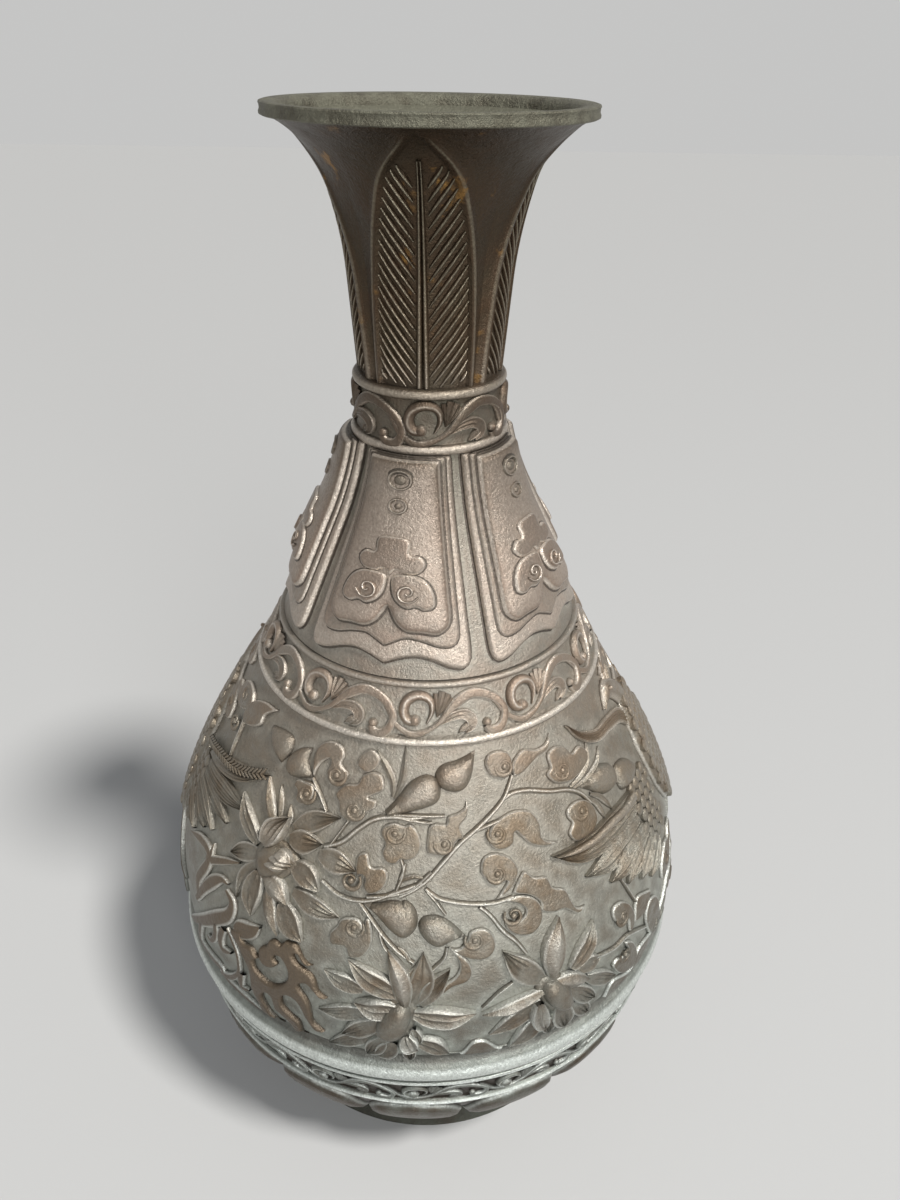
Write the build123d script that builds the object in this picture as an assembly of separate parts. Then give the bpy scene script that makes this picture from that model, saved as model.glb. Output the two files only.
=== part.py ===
"""Cast bronze vase: pear body, trumpet mouth, banded joints and applied lotus and phoenix relief.

Millimetres, Z up, origin at the middle of the foot's underside. The front of the vase faces -Y.
Azimuths are in degrees, zero at the front and growing towards +X.
"""
from build123d import *
from math import acos, cos, radians, sin
import os

# Heights of the cast sections, from the foot up
FOOT_HEIGHT = 13.5
PETAL_HEIGHT = 29.0
LOWER_BAND_HEIGHT = 14.7
LEDGE_HEIGHT = 11.8
BELLY_HEIGHT = 81.0
SHOULDER_BAND_HEIGHT = 14.8
SHOULDER_HEIGHT = 50.5
COLLAR_HEIGHT = 16.0
NECK_HEIGHT = 56.0
RIM_HEIGHT = 2.7

# Outer radii where the sections meet, without the relief
FOOT_RADIUS = 56.5
FOOT_TOP_RADIUS = 58.5
PETAL_TOP_RADIUS = 74.2
LOWER_BAND_TOP_RADIUS = 77.4
LEDGE_RADIUS = 79.3
BELLY_FOOT_RADIUS = 77.6
BELLY_TOP_RADIUS = 48.0
BAND_TOP_RADIUS = 40.6
SHOULDER_TOP_RADIUS = 18.5
COLLAR_TOP_RADIUS = 17.8
NECK_TOP_RADIUS = 35.6
MOUTH_RADIUS = 37.0

# Wall, foot ring and base plate
WALL = 3.4
FOOT_WALL = 6.0
BASE_LEDGE = 2.0
FOOT_WAIST = 1.0
BASE_RISE = 7.0
BASE_PLATE = 2.5
BASE_PLAY = 0.15
LIP_ROUND = 1.1
LIP_FLAT = 1.6

# Beads that edge the collar and the shoulder band
BEAD_RADIUS = 1.3
BEAD_SINK = 0.45
BAND_RIDGE = 1.0
BAND_RIDGE_WIDTH = 1.5

# How far each relief stands off its ground, measured level
LEAF_DEPTH = 0.8
RIB_RISE = 0.7
BARB_RISE = 0.5
SCROLL_RISE = 1.0
PANEL_RISE = 0.9
BORDER_RISE = 1.4
PLAQUE_RISE = 1.9
BOSS_RISE = 0.7
CLOUD_RISE = 0.8
LOTUS_RISE = 2.2
BUD_RISE = 2.0
LEAF_RISE = 1.3
STEM_RISE = 1.0
PHOENIX_RISE = 1.9
PETAL_RISE = 2.0

# Reach of the cutters through the curved ground, and the edge of the cube under which a crumb is dropped
REACH = 6.0
LONG_REACH = 11.0
CRUMB = 1.5

# Counts around the vase
NECK_LEAVES = 4
COLLAR_UNITS = 4
PANELS = 5
BAND_UNITS = 10
LOWER_UNITS = 18
FOOT_PETALS = 15
BELLY_REPEATS = 2

# Azimuth of the first copy of each pattern, in degrees
LEAF_START = -5.0
COLLAR_START = -3.0
PANEL_START = -16.5
BAND_START = -4.0
LOWER_START = -3.0
PETAL_START = -3.0

# Curves of the sections: a straight stretch, then tangent arcs through these points, each as
# shares of the section's height and of its change of radius, away from the straight end
NECK_SHARES = ((0.39, 0.10), (0.77, 0.345), (1, 1))
SHOULDER_SHARES = ((0.60, 0.685), (1, 1))
BELLY_SHARES = ((0.285, 0.445), (0.555, 0.808), (1, 1))
PETAL_SHARES = ((0.48, 0.56), (1, 1))

# Neck leaf: points of its side as shares of its height and of its half width at the collar
LEAF_HEIGHT = 52.5
LEAF_HALF_WIDTH = 10.7
LEAF_SIDE_SHARES = ((0.0, 1.0), (0.56, 0.94), (0.84, 0.63))
RIB_WIDTH = 0.85
RIB_GAP = 0.5
RIB_LENGTH_SHARE = 0.92
BARB_WIDTH = 0.5
BARB_PITCH = 3.1
BARB_DROP = 1.55
BARB_TURN = 52.0
BARBS_A_SIDE = 15
BARB_LENGTH = 17.0
BARB_CLEAR = 0.6

# Scroll unit of the collar and the shoulder band, as shares of its own height
SCROLL_WIDTH = 1.5
COLLAR_SCROLL_HEIGHT = 10.4
BAND_SCROLL_HEIGHT = 10.2
SCROLL_EYE_SHARE = 0.27
SCROLL_PITCH_SHARE = 2.6
SCROLL_FAN_TURN = 55.0
SCROLL_STEM_SHARES = ((0.12, -0.44), (1.00, -0.10), (1.65, 0.40))
SCROLL_CREST_SHARES = ((1.72, 0.41), (2.16, 0.22), (2.02, -0.22))
SCROLL_COMMA_SHARES = (1.42, -0.22, 0.30)
SCROLL_FAN_SHARES = (0.55, 0.28, 0.42, 0.24)

# Shoulder panels: spans in degrees, bottom edges as shares of the shoulder's height
PANEL_SPAN = 65.0
BORDER_SPAN = 56.0
PLAQUE_SPAN = 51.0
PANEL_FOOT_SHARES = ((0.00, 0.070), (0.38, 0.110), (0.85, 0.045), (1.00, 0.105))
BORDER_FOOT_SHARES = ((0.00, 0.145), (0.30, 0.200), (0.80, 0.160), (1.00, 0.235))
PLAQUE_FOOT_SHARES = ((0.00, 0.320), (0.35, 0.245), (0.80, 0.195), (1.00, 0.285))
BOSS_HEIGHT_SHARES = (0.88, 0.77)
BOSS_RADII = (2.4, 1.9)
BOSS_RING = 0.7
CLOUD_WIDTH = 13.4
CLOUD_CENTRE_SHARE = 0.53
CLOUD_TOP_SHARES = ((0.0, 0.22, 0.235), (-0.30, 0.02, 0.20), (0.30, 0.02, 0.20))
CLOUD_FOOT_SHARES = ((-0.22, -0.36, 0.20), (-0.47, -0.50, 0.15), (0.22, -0.36, 0.20), (0.47, -0.50, 0.15))

# Belly flowers: azimuth, height share, size share, then petals as turn, length, width and bend
FLOWER_SIZE = 19.0
FLOWER_HEART = 5.4
FLOWER_PETAL_START_SHARE = 0.16
FLOWER_BEND_SHARE = 0.14
FLOWERS = (
    (-37, 0.60, 1.0, ((132, 1.0, 1), (104, 1.15, 0), (78, 0.95, -1), (46, 0.85, 1), (18, 0.95, 1),
                      (-14, 0.90, -1), (-42, 1.05, 1), (-72, 1.05, 0), (-104, 0.90, -1), (-142, 0.75, 1),
                      (172, 0.80, -1))),
    (-4, 0.215, 1.0, ((118, 1.0, -1), (146, 1.0, 1), (170, 0.98, 0), (196, 0.80, 1), (224, 0.85, 0),
                      (252, 0.72, -1), (278, 0.66, 1), (0, 0.80, 1), (66, 0.85, -1), (92, 0.95, 0))),
    (25, 0.20, 0.95, ((84, 1.15, -1), (52, 1.05, -1), (150, 0.98, 1), (190, 0.95, 1), (222, 0.90, -1),
                      (250, 0.80, 0), (282, 0.62, 1), (312, 0.66, 0), (340, 0.62, 1), (18, 0.95, 0))),
)
PETAL_WIDTH_SHARE = 0.30

# Belly buds: azimuth, height share, turn, length share and width share
BUD_LENGTH = 17.0
BUD_WIDTH = 9.5
BUDS_SHARES = (
    (-4.5, 0.850, 211, 0.95, 1.00), (8.2, 0.935, 43, 0.76, 0.84), (-8.5, 0.535, 166, 0.86, 0.88),
    (3.2, 0.495, -18, 0.68, 0.78), (47.5, 0.755, 162, 0.98, 0.95), (61.5, 0.70, 160, 0.66, 0.88),
    (-46.5, 0.925, 148, 0.74, 0.88), (-35.5, 0.865, -44, 0.84, 0.88),
)

# Belly curl leaves: azimuth, height share, turn, size share and hand
CURL_SIZE = 10.5
CURL_THROAT_SHARE = 0.5
CURL_EYE_SHARE = 0.33
CURLS_SHARES = (
    (-19.5, 0.885, 60, 1.10, 1), (-27.5, 0.945, -20, 0.85, -1), (-7.0, 0.725, 100, 0.90, -1),
    (2.2, 0.745, 20, 0.62, 1), (18.5, 0.950, 150, 0.62, 1), (23.5, 0.755, -30, 1.00, 1),
    (16.5, 0.640, 70, 0.78, 1), (27.0, 0.565, -40, 1.05, -1), (21.5, 0.480, 120, 0.78, -1),
    (12.0, 0.450, 60, 0.62, 1), (8.6, 0.365, -100, 0.80, 1), (-16.0, 0.455, 80, 1.05, 1),
    (37.5, 0.875, 90, 0.95, 1), (40.5, 0.665, 90, 0.85, 1), (-61.0, 0.915, 20, 1.05, -1),
    (-29.0, 0.760, 100, 0.55, 1), (46.5, 0.300, 90, 0.70, -1), (51.0, 0.190, 60, 0.80, 1),
    (43.5, 0.095, 30, 0.80, -1), (58.5, 0.300, 80, 0.80, 1), (-26.0, 0.330, 100, 0.75, 1),
    (66.0, 0.130, 70, 0.80, -1),
)

# Belly leaf blades: azimuth, height share, turn, length share and bend
BLADE_LENGTH = 11.0
BLADE_WIDTH = 2.6
BLADE_BEND = 2.2
BLADES_SHARES = (
    (-6.8, 0.955, 82, 0.85, 1), (-11.5, 0.945, 118, 0.75, -1), (1.2, 0.805, -2, 0.80, 1),
    (30.0, 0.945, 38, 1.00, -1), (49.5, 0.850, 60, 0.75, -1), (48.0, 0.665, -62, 0.75, 1),
    (8.5, 0.805, 70, 0.60, 1), (4.5, 0.060, -8, 1.05, 1), (-13.0, 0.620, 200, 0.70, 1),
)

# Belly vines: each stretch by its start, middle and end, as azimuth and height share
STEM_WIDTH = 1.7
STEMS_SHARES = (
    ((-22.5, 0.700), (-17.5, 0.765), (-12.5, 0.795)), ((-15.5, 0.575), (-7.0, 0.575), (0.0, 0.635)),
    ((0.0, 0.635), (4.2, 0.695), (8.5, 0.755)), ((8.5, 0.755), (14.0, 0.810), (20.5, 0.865)),
    ((20.5, 0.865), (29.0, 0.845), (38.5, 0.785)), ((-1.5, 0.615), (4.5, 0.605), (10.0, 0.572)),
    ((10.0, 0.572), (15.0, 0.560), (19.5, 0.560)), ((10.0, 0.572), (14.5, 0.500), (20.5, 0.375)),
    ((-15.0, 0.560), (-8.5, 0.475), (-3.5, 0.395)), ((34.5, 0.255), (43.0, 0.235), (53.0, 0.250)),
    ((-31.5, 0.810), (-28.0, 0.780), (-26.5, 0.735)), ((-66.5, 0.860), (-65.5, 0.790), (-63.0, 0.735)),
)

# Phoenix: wings as feathers on a shoulder, body, crest plume and tail plumes
WINGS_SHARES = (
    (62, 0.615, ((180, 1.00), (194, 0.86), (212, 0.72), (230, 0.66), (248, 0.62))),
    (92, 0.615, ((19, 1.14), (4, 1.05), (-10, 0.98), (-26, 0.86), (-44, 0.70))),
)
WING_LENGTH = 37.0
FEATHER_WIDTH = 5.6
FEATHER_BEND = 2.4
BIRD_BODY_SHARES = (77, 0.50, 258, 1.0)
BIRD_LENGTH = 34.0
BIRD_WIDTH = 15.0
BIRD_HEAD_SHARES = (79, 0.805, 170)
BIRD_HEAD_LENGTH = 12.0
BIRD_HEAD_WIDTH = 6.5
PLUME_WIDTH = 3.4
PLUMES_SHARES = (
    ((44.5, 0.965), (52.0, 0.885), (61.0, 0.885)), ((61.0, 0.885), (68.0, 0.880), (75.0, 0.835)),
    ((-63.0, 0.430), (-58.0, 0.330), (-62.0, 0.190)), ((-53.5, 0.440), (-49.0, 0.350), (-53.0, 0.260)),
    ((-46.0, 0.360), (-39.5, 0.250), (-41.0, 0.080)), ((-36.0, 0.370), (-33.0, 0.220), (-25.5, 0.030)),
    ((-29.0, 0.240), (-24.0, 0.140), (-20.5, 0.020)), ((-52.0, 0.200), (-47.0, 0.140), (-49.0, 0.040)),
    ((-60.0, 0.130), (-56.0, 0.060), (-51.0, 0.010)), ((-33.5, 0.130), (-31.0, 0.060), (-33.0, 0.010)),
)

# Lower scroll and foot petals
LOWER_EYE_RADIUS = 2.7
LOWER_PUPIL_RADIUS = 0.9
LOWER_ARCH_RADIUS = 4.6
LOWER_ARCH_SHARE = 0.8
LOWER_DROP_RADIUS = 1.5
LOWER_DROP_SHARE = 0.45
LOWER_FIELD_SHARE = 0.50
FOOT_PETAL_WIDTH = 25.0
FOOT_PETAL_LENGTH = 28.5
FOOT_PETAL_WAIST_SHARE = 0.80
FOOT_PETAL_BOSS_SHARE = 0.62
FOOT_PETAL_SHOULDER_SHARE = 0.86
FOOT_PETAL_CROWN_SHARES = (0.52, 0.88)

# Heights of the joints between the sections
PETAL_FOOT = FOOT_HEIGHT
LOWER_FOOT = PETAL_FOOT + PETAL_HEIGHT
LEDGE_FOOT = LOWER_FOOT + LOWER_BAND_HEIGHT
BELLY_FOOT = LEDGE_FOOT + LEDGE_HEIGHT
BAND_FOOT = BELLY_FOOT + BELLY_HEIGHT
SHOULDER_FOOT = BAND_FOOT + SHOULDER_BAND_HEIGHT
COLLAR_FOOT = SHOULDER_FOOT + SHOULDER_HEIGHT
NECK_FOOT = COLLAR_FOOT + COLLAR_HEIGHT
RIM_FOOT = NECK_FOOT + NECK_HEIGHT
TOP = RIM_FOOT + RIM_HEIGHT


def lathe(face):
    """Turn a face drawn as radius and height about the vase's axis."""
    return revolve(Plane.XZ * face, Axis.Z)


def outer_curve(start, end, shares):
    """Outer curve of a section: a line to its first share, then tangent arcs to the rest."""
    rise = end[1] - start[1]
    change = end[0] - start[0]
    points = [(start[0] + change * r, start[1] + rise * z) for z, r in shares]
    edges = [Line(start, points[0]).edge()]
    for point in points[1:]:
        edges.append(TangentArc(edges[-1] @ 1, point, tangent=edges[-1] % 1).edge())
    return edges


def upwards(edges):
    """The same curve as one wire that runs from the foot up."""
    wire = Wire(edges)
    return wire if (wire @ 1).Y > (wire @ 0).Y else Wire([Edge.reversed(edge) for edge in reversed(edges)])


NECK_CURVE = upwards(outer_curve((COLLAR_TOP_RADIUS, NECK_FOOT), (NECK_TOP_RADIUS, RIM_FOOT), NECK_SHARES))
SHOULDER_CURVE = upwards(outer_curve((BAND_TOP_RADIUS, SHOULDER_FOOT), (SHOULDER_TOP_RADIUS, COLLAR_FOOT),
                                     SHOULDER_SHARES))
BELLY_CURVE = upwards(outer_curve((BELLY_TOP_RADIUS, BAND_FOOT), (BELLY_FOOT_RADIUS, BELLY_FOOT), BELLY_SHARES))
PETAL_CURVE = upwards(outer_curve((FOOT_TOP_RADIUS, PETAL_FOOT), (PETAL_TOP_RADIUS, LOWER_FOOT), PETAL_SHARES))
COLLAR_CURVE = Wire([Line((SHOULDER_TOP_RADIUS, COLLAR_FOOT), (COLLAR_TOP_RADIUS, NECK_FOOT)).edge()])
BAND_CURVE = Wire([Line((BELLY_TOP_RADIUS, BAND_FOOT), (BAND_TOP_RADIUS, SHOULDER_FOOT)).edge()])
LOWER_CURVE = Wire([Line((PETAL_TOP_RADIUS, LOWER_FOOT), (LOWER_BAND_TOP_RADIUS, LEDGE_FOOT)).edge()])


def layer_face(curve, start, stop):
    """Face between a section's curve moved level by start and by stop."""
    inner = curve.moved(Location((start, 0)))
    outer = curve.moved(Location((stop, 0)))
    ends = [Line(inner @ 1, outer @ 1).edge(), Line(outer @ 0, inner @ 0).edge()]
    return make_face(inner.edges() + outer.edges() + ends)


def layer(curve, start, stop):
    """Ring of a section between two levels."""
    return lathe(layer_face(curve, start, stop))


def seat(curve, azimuth, height, turn=0):
    """Plane that touches a section's curve, X across, Y up the wall, Z outwards."""
    low, high = 0.0, 1.0
    while high - low > 1 / 2 ** 20:
        middle = (low + high) / 2
        low, high = (middle, high) if (curve @ middle).Y < height else (low, middle)
    point, lean = curve @ low, curve % low
    angle = radians(azimuth)
    outward = Vector(sin(angle), -cos(angle), 0)
    normal = outward * lean.Y - Vector(0, 0, lean.X)
    origin = outward * point.X + Vector(0, 0, height)
    return Plane(origin=origin, x_dir=(cos(angle), sin(angle), 0), z_dir=normal).rotated((0, 0, turn))


def solids(shape):
    """Every solid of a result, whatever wraps it."""
    if shape is None:
        return []
    if isinstance(shape, (list, tuple)):
        return [solid for item in shape for solid in solids(item)]
    return list(shape.solids())


def around(pieces, count, start=0.0):
    """Copies of the pieces turned evenly about the axis."""
    step = 360 / count
    return [piece.rotate(Axis.Z, start + step * i) for i in range(count) for piece in pieces]


def save(name, pieces):
    """Write one node's solids."""
    export_step(Compound(solids(pieces)), f"parts/{name}.step")


def prism(plane, sketch, reach=REACH):
    """Cutter through the wall along the plane's normal."""
    return extrude(plane * sketch, amount=reach, both=True)


def onto(ground, cutters):
    """Relief pieces: each cutter kept where it lies in the layer on the ground."""
    pieces = [solid for cutter in cutters for solid in solids(ground & cutter)]
    return [piece for piece in pieces if piece.volume > CRUMB ** 3]


def clear_of(cutters, others):
    """Cutters with what earlier ones cover taken off, so that pieces meet edge to edge."""
    kept = []
    for cutter in cutters:
        for other in others + kept:
            if cutter.bounding_box().overlaps(other.bounding_box()):
                cutter = cutter - other
        kept.append(cutter)
    return kept


def lens(length, width, bend=0.0):
    """Petal outline from the origin along X, pointed at both ends."""
    half = width / 2
    tip = (length, 0)
    upper = ThreePointArc((0, 0), (length / 2, bend + half), tip)
    lower = ThreePointArc(tip, (length / 2, bend - half), (0, 0))
    return make_face([upper.edge(), lower.edge()])


def bud(length, width):
    """Drop outline, round at one end and pointed towards +X."""
    radius = width / 2
    centre = radius - length / 2
    turn = acos(radius / (length - radius))
    touch = (centre + radius * cos(turn), radius * sin(turn))
    below = (touch[0], -touch[1])
    tip = (length / 2, 0)
    blunt = ThreePointArc(touch, (centre - radius, 0), below)
    return make_face([Line(tip, touch).edge(), blunt.edge(), Line(below, tip).edge()])


def curl(size, hand):
    """Curled leaf: a comma of three arcs with its eye open."""
    radius = size / 2
    head = radius / 2
    back = ThreePointArc((-radius, 0), (0, hand * radius), (radius, 0))
    chin = ThreePointArc((radius, 0), (head, -hand * head), (0, 0))
    throat = ThreePointArc((0, 0), (-head, hand * head * CURL_THROAT_SHARE), (-radius, 0))
    return make_face([back.edge(), chin.edge(), throat.edge()]) - Pos(head, 0) * Circle(head * CURL_EYE_SHARE)


def ribbon(points, width):
    """Curved strip of even width through three points on its middle line."""
    start, middle, stop = [Vector(*point) for point in points]
    line = ThreePointArc(start, middle, stop).edge()
    sides = []
    for share in (0, 0.5, 1):
        lean = line % share
        offset = Vector(-lean.Y, lean.X) * (width / 2)
        sides.append((line @ share + offset, line @ share - offset))
    left = ThreePointArc(sides[0][0], sides[1][0], sides[2][0])
    right = ThreePointArc(sides[2][1], sides[1][1], sides[0][1])
    caps = [Line(sides[2][0], sides[2][1]).edge(), Line(sides[0][1], sides[0][0]).edge()]
    return make_face([left.edge(), caps[0], right.edge(), caps[1]])


def belly_seat(azimuth, share, turn=0):
    """Touching plane on the belly at a share of its height."""
    return seat(BELLY_CURVE, azimuth, BELLY_FOOT + BELLY_HEIGHT * share, turn)


def belly_strip(points, width):
    """Cutter for a vine or plume through three places on the belly."""
    planes = [belly_seat(*point) for point in points]
    flat = [planes[1].to_local_coords(plane.origin) for plane in planes]
    return prism(planes[1], ribbon([(point.X, point.Y) for point in flat], width), LONG_REACH)


def foot_ring():
    """Turned foot with a ledge inside that carries the base plate."""
    inner = FOOT_RADIUS - FOOT_WALL
    seat_radius = inner + BASE_LEDGE
    waist = FOOT_RADIUS - FOOT_WAIST
    side = ThreePointArc((FOOT_RADIUS, 0), (waist, FOOT_HEIGHT / 2), (FOOT_TOP_RADIUS, FOOT_HEIGHT))
    steps = [(FOOT_TOP_RADIUS, FOOT_HEIGHT), (seat_radius, FOOT_HEIGHT), (seat_radius, BASE_RISE),
             (inner, BASE_RISE), (inner, 0), (FOOT_RADIUS, 0)]
    return lathe(make_face([side.edge()] + Polyline(*steps).edges()))


def base_plate():
    """Disc that closes the vase, on the ledge of the foot ring."""
    radius = FOOT_RADIUS - FOOT_WALL + BASE_LEDGE - BASE_PLAY
    return Pos(0, 0, BASE_RISE) * Cylinder(radius, BASE_PLATE, align=(Align.CENTER, Align.CENTER, Align.MIN))


def lower_band():
    """Wall of the lower scroll band between two flat ridges."""
    wall = layer(LOWER_CURVE, -WALL, 0)
    lean = (LOWER_BAND_TOP_RADIUS - PETAL_TOP_RADIUS) / LOWER_BAND_HEIGHT
    for foot in (LOWER_FOOT, LEDGE_FOOT - BAND_RIDGE_WIDTH):
        radius = PETAL_TOP_RADIUS + lean * (foot - LOWER_FOOT)
        ridge = [(radius - WALL / 2, foot), (radius + BAND_RIDGE, foot),
                 (radius + BAND_RIDGE, foot + BAND_RIDGE_WIDTH), (radius - WALL / 2, foot + BAND_RIDGE_WIDTH)]
        wall += lathe(make_face(Polyline(*ridge, close=True).edges()))
    return wall


def ledge():
    """Smooth roll on which the belly stands."""
    inner = LOWER_BAND_TOP_RADIUS - WALL
    roll = ThreePointArc((LOWER_BAND_TOP_RADIUS, LEDGE_FOOT), (LEDGE_RADIUS, LEDGE_FOOT + LEDGE_HEIGHT / 2),
                         (BELLY_FOOT_RADIUS, BELLY_FOOT))
    inside = [(BELLY_FOOT_RADIUS, BELLY_FOOT), (BELLY_FOOT_RADIUS - WALL, BELLY_FOOT), (inner, LEDGE_FOOT),
              (LOWER_BAND_TOP_RADIUS, LEDGE_FOOT)]
    return lathe(make_face([roll.edge()] + Polyline(*inside).edges()))


def beaded(curve):
    """Wall of a band with a round bead along its lower and its upper edge."""
    wall = layer(curve, -WALL, 0)
    slope = ((curve @ 1).X - (curve @ 0).X) / ((curve @ 1).Y - (curve @ 0).Y)
    for edge, way in ((curve @ 0, 1), (curve @ 1, -1)):
        height = edge.Y + way * BEAD_RADIUS
        middle = Pos(edge.X + slope * way * BEAD_RADIUS - BEAD_SINK, height)
        wall += lathe(middle * Circle(BEAD_RADIUS))
    return wall


def neck_leaf():
    """Outline of one neck leaf, seen from the front, its foot on the collar."""
    right = [(LEAF_HALF_WIDTH * w, LEAF_HEIGHT * z) for z, w in LEAF_SIDE_SHARES]
    left = [(-x, z) for x, z in right]
    tip = (0, LEAF_HEIGHT)
    sides = [Line(left[0], right[0]), Line(right[0], right[1]), ThreePointArc(right[1], right[2], tip),
             ThreePointArc(tip, left[2], left[1]), Line(left[1], left[0])]
    return make_face([side.edge() for side in sides])


def leaf_barbs(outline):
    """Slanting barbs on both sides of the midrib, kept inside the leaf."""
    strips = Sketch()
    start = RIB_GAP / 2 + RIB_WIDTH + BARB_CLEAR
    for side in (-1, 1):
        for i in range(BARBS_A_SIDE):
            bar = Pos(BARB_LENGTH / 2, 0) * Rectangle(BARB_LENGTH, BARB_WIDTH)
            turn = BARB_TURN if side > 0 else 180 - BARB_TURN
            strips += Pos(side * start, BARB_PITCH * i - BARB_DROP) * Rot(0, 0, turn) * bar
    beside = Rectangle(2 * start, 2 * LEAF_HEIGHT)
    return (strips & offset(outline, -BARB_CLEAR)) - beside


def neck_pieces():
    """Neck wall with its sunk leaf fields, and the midribs and barbs in them."""
    front = Plane(origin=(0, 0, NECK_FOOT), x_dir=(1, 0, 0), z_dir=(0, -1, 0))
    outline = neck_leaf()
    field = layer(NECK_CURVE, -LEAF_DEPTH, LEAF_DEPTH)
    reach = MOUTH_RADIUS
    pocket = field & extrude(front * outline, amount=reach)
    tall = LEAF_HEIGHT * RIB_LENGTH_SHARE
    ribs = [Pos(side * (RIB_GAP + RIB_WIDTH) / 2, tall / 2) * Rectangle(RIB_WIDTH, tall) for side in (-1, 1)]
    rib_layer = layer(NECK_CURVE, -LEAF_DEPTH, RIB_RISE - LEAF_DEPTH)
    barb_layer = layer(NECK_CURVE, -LEAF_DEPTH, BARB_RISE - LEAF_DEPTH)
    midribs = [rib_layer & extrude(front * rib, amount=reach) for rib in ribs]
    barbs = barb_layer & extrude(front * leaf_barbs(outline), amount=reach)
    wall = layer(NECK_CURVE, -WALL, 0)
    for cutter in around(solids(pocket), NECK_LEAVES, LEAF_START):
        wall -= cutter
    return wall, around(solids(midribs), NECK_LEAVES, LEAF_START), around(solids(barbs), NECK_LEAVES, LEAF_START)


def mouth_rim():
    """Thick lip that closes the trumpet mouth."""
    inner = NECK_TOP_RADIUS - WALL
    side = ThreePointArc((NECK_TOP_RADIUS, RIM_FOOT), (MOUTH_RADIUS, TOP - LIP_ROUND), (MOUTH_RADIUS - LIP_ROUND, TOP))
    inside = [(MOUTH_RADIUS - LIP_ROUND, TOP), (MOUTH_RADIUS - LIP_ROUND - LIP_FLAT, TOP),
              (inner, RIM_FOOT), (NECK_TOP_RADIUS, RIM_FOOT)]
    return lathe(make_face([side.edge()] + Polyline(*inside).edges()))


def scroll(curve, height, count, start):
    """Running scroll of a band: eye, stem, crest, comma leaf and fan in each unit."""
    middle = ((curve @ 0).Y + (curve @ 1).Y) / 2
    plane = seat(curve, 360 / count / 2, middle)
    radius = (curve @ 0.5).X
    pitch = 2 * radius * sin(radians(180 / count))
    fit = pitch / (height * SCROLL_PITCH_SHARE)
    place = Pos(-pitch / 2 + height * SCROLL_EYE_SHARE, 0)
    eye = place * (Circle(height * SCROLL_EYE_SHARE) - Circle(height * SCROLL_EYE_SHARE - SCROLL_WIDTH))
    sketches = [eye]
    for shares in (SCROLL_STEM_SHARES, SCROLL_CREST_SHARES):
        line = [(x * height * fit, y * height) for x, y in shares]
        sketches.append(place * ribbon(line, SCROLL_WIDTH))
    x, y, size = SCROLL_COMMA_SHARES
    sketches.append(place * Pos(x * height * fit, y * height) * curl(2 * size * height, 1))
    x, y, length, width = SCROLL_FAN_SHARES
    sketches.append(place * Pos(x * height * fit, y * height) * Rot(0, 0, SCROLL_FAN_TURN) * bud(length * height, width * height))
    cutters = clear_of([prism(plane, sketch) for sketch in sketches], [])
    return around(onto(layer(curve, 0, SCROLL_RISE), cutters), count, start)


def panel_layer(span, start, stop, foot_shares):
    """One level of a shoulder panel: a sector of the shoulder with a shaped foot edge."""
    face = layer_face(SHOULDER_CURVE, start, stop)
    sector = revolve(Plane.XZ * face, Axis.Z, revolution_arc=span).rotate(Axis.Z, -90 - span / 2)
    half = BAND_TOP_RADIUS * sin(radians(span / 2))
    right = [(half * x, SHOULDER_HEIGHT * z) for x, z in foot_shares]
    left = [(-x, z) for x, z in right[:0:-1]]
    foot = -SHOULDER_HEIGHT
    side = BAND_TOP_RADIUS
    edge = Polyline(*left, *right, (side, right[-1][1]), (side, foot), (-side, foot), (-side, right[-1][1]), close=True)
    front = Plane(origin=(0, 0, SHOULDER_FOOT), x_dir=(1, 0, 0), z_dir=(0, -1, 0))
    return sector - extrude(front * make_face(edge.edges()), amount=2 * BAND_TOP_RADIUS)


def panel_pieces():
    """Panels, their borders and plaques, stepped up one on another."""
    panel = panel_layer(PANEL_SPAN, 0, PANEL_RISE, PANEL_FOOT_SHARES)
    border = panel_layer(BORDER_SPAN, PANEL_RISE, BORDER_RISE, BORDER_FOOT_SHARES)
    plaque = panel_layer(PLAQUE_SPAN, BORDER_RISE, PLAQUE_RISE, PLAQUE_FOOT_SHARES)
    return [around(solids(level), PANELS, PANEL_START) for level in (panel, border, plaque)]


def panel_ornaments():
    """Ringed bosses and the cloud on each plaque."""
    ground = SHOULDER_CURVE.moved(Location((PLAQUE_RISE, 0)))
    bosses = []
    for share, radius in zip(BOSS_HEIGHT_SHARES, BOSS_RADII):
        ring = Circle(radius) - Circle(radius - BOSS_RING)
        plane = seat(ground, 0, SHOULDER_FOOT + SHOULDER_HEIGHT * share)
        bosses += [prism(plane, ring), prism(plane, Circle(radius - 2 * BOSS_RING))]
    plane = seat(ground, 0, SHOULDER_FOOT + SHOULDER_HEIGHT * CLOUD_CENTRE_SHARE)
    lobes = [[Pos(x * CLOUD_WIDTH, y * CLOUD_WIDTH) * Circle(r * CLOUD_WIDTH) for x, y, r in shares]
             for shares in (CLOUD_TOP_SHARES, CLOUD_FOOT_SHARES[:2], CLOUD_FOOT_SHARES[2:])]
    clouds = clear_of([prism(plane, Sketch() + group) for group in lobes], [])
    boss_pieces = onto(layer(ground, 0, BOSS_RISE), bosses)
    cloud_pieces = onto(layer(ground, 0, CLOUD_RISE), clouds)
    return around(boss_pieces, PANELS, PANEL_START), around(cloud_pieces, PANELS, PANEL_START)


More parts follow.
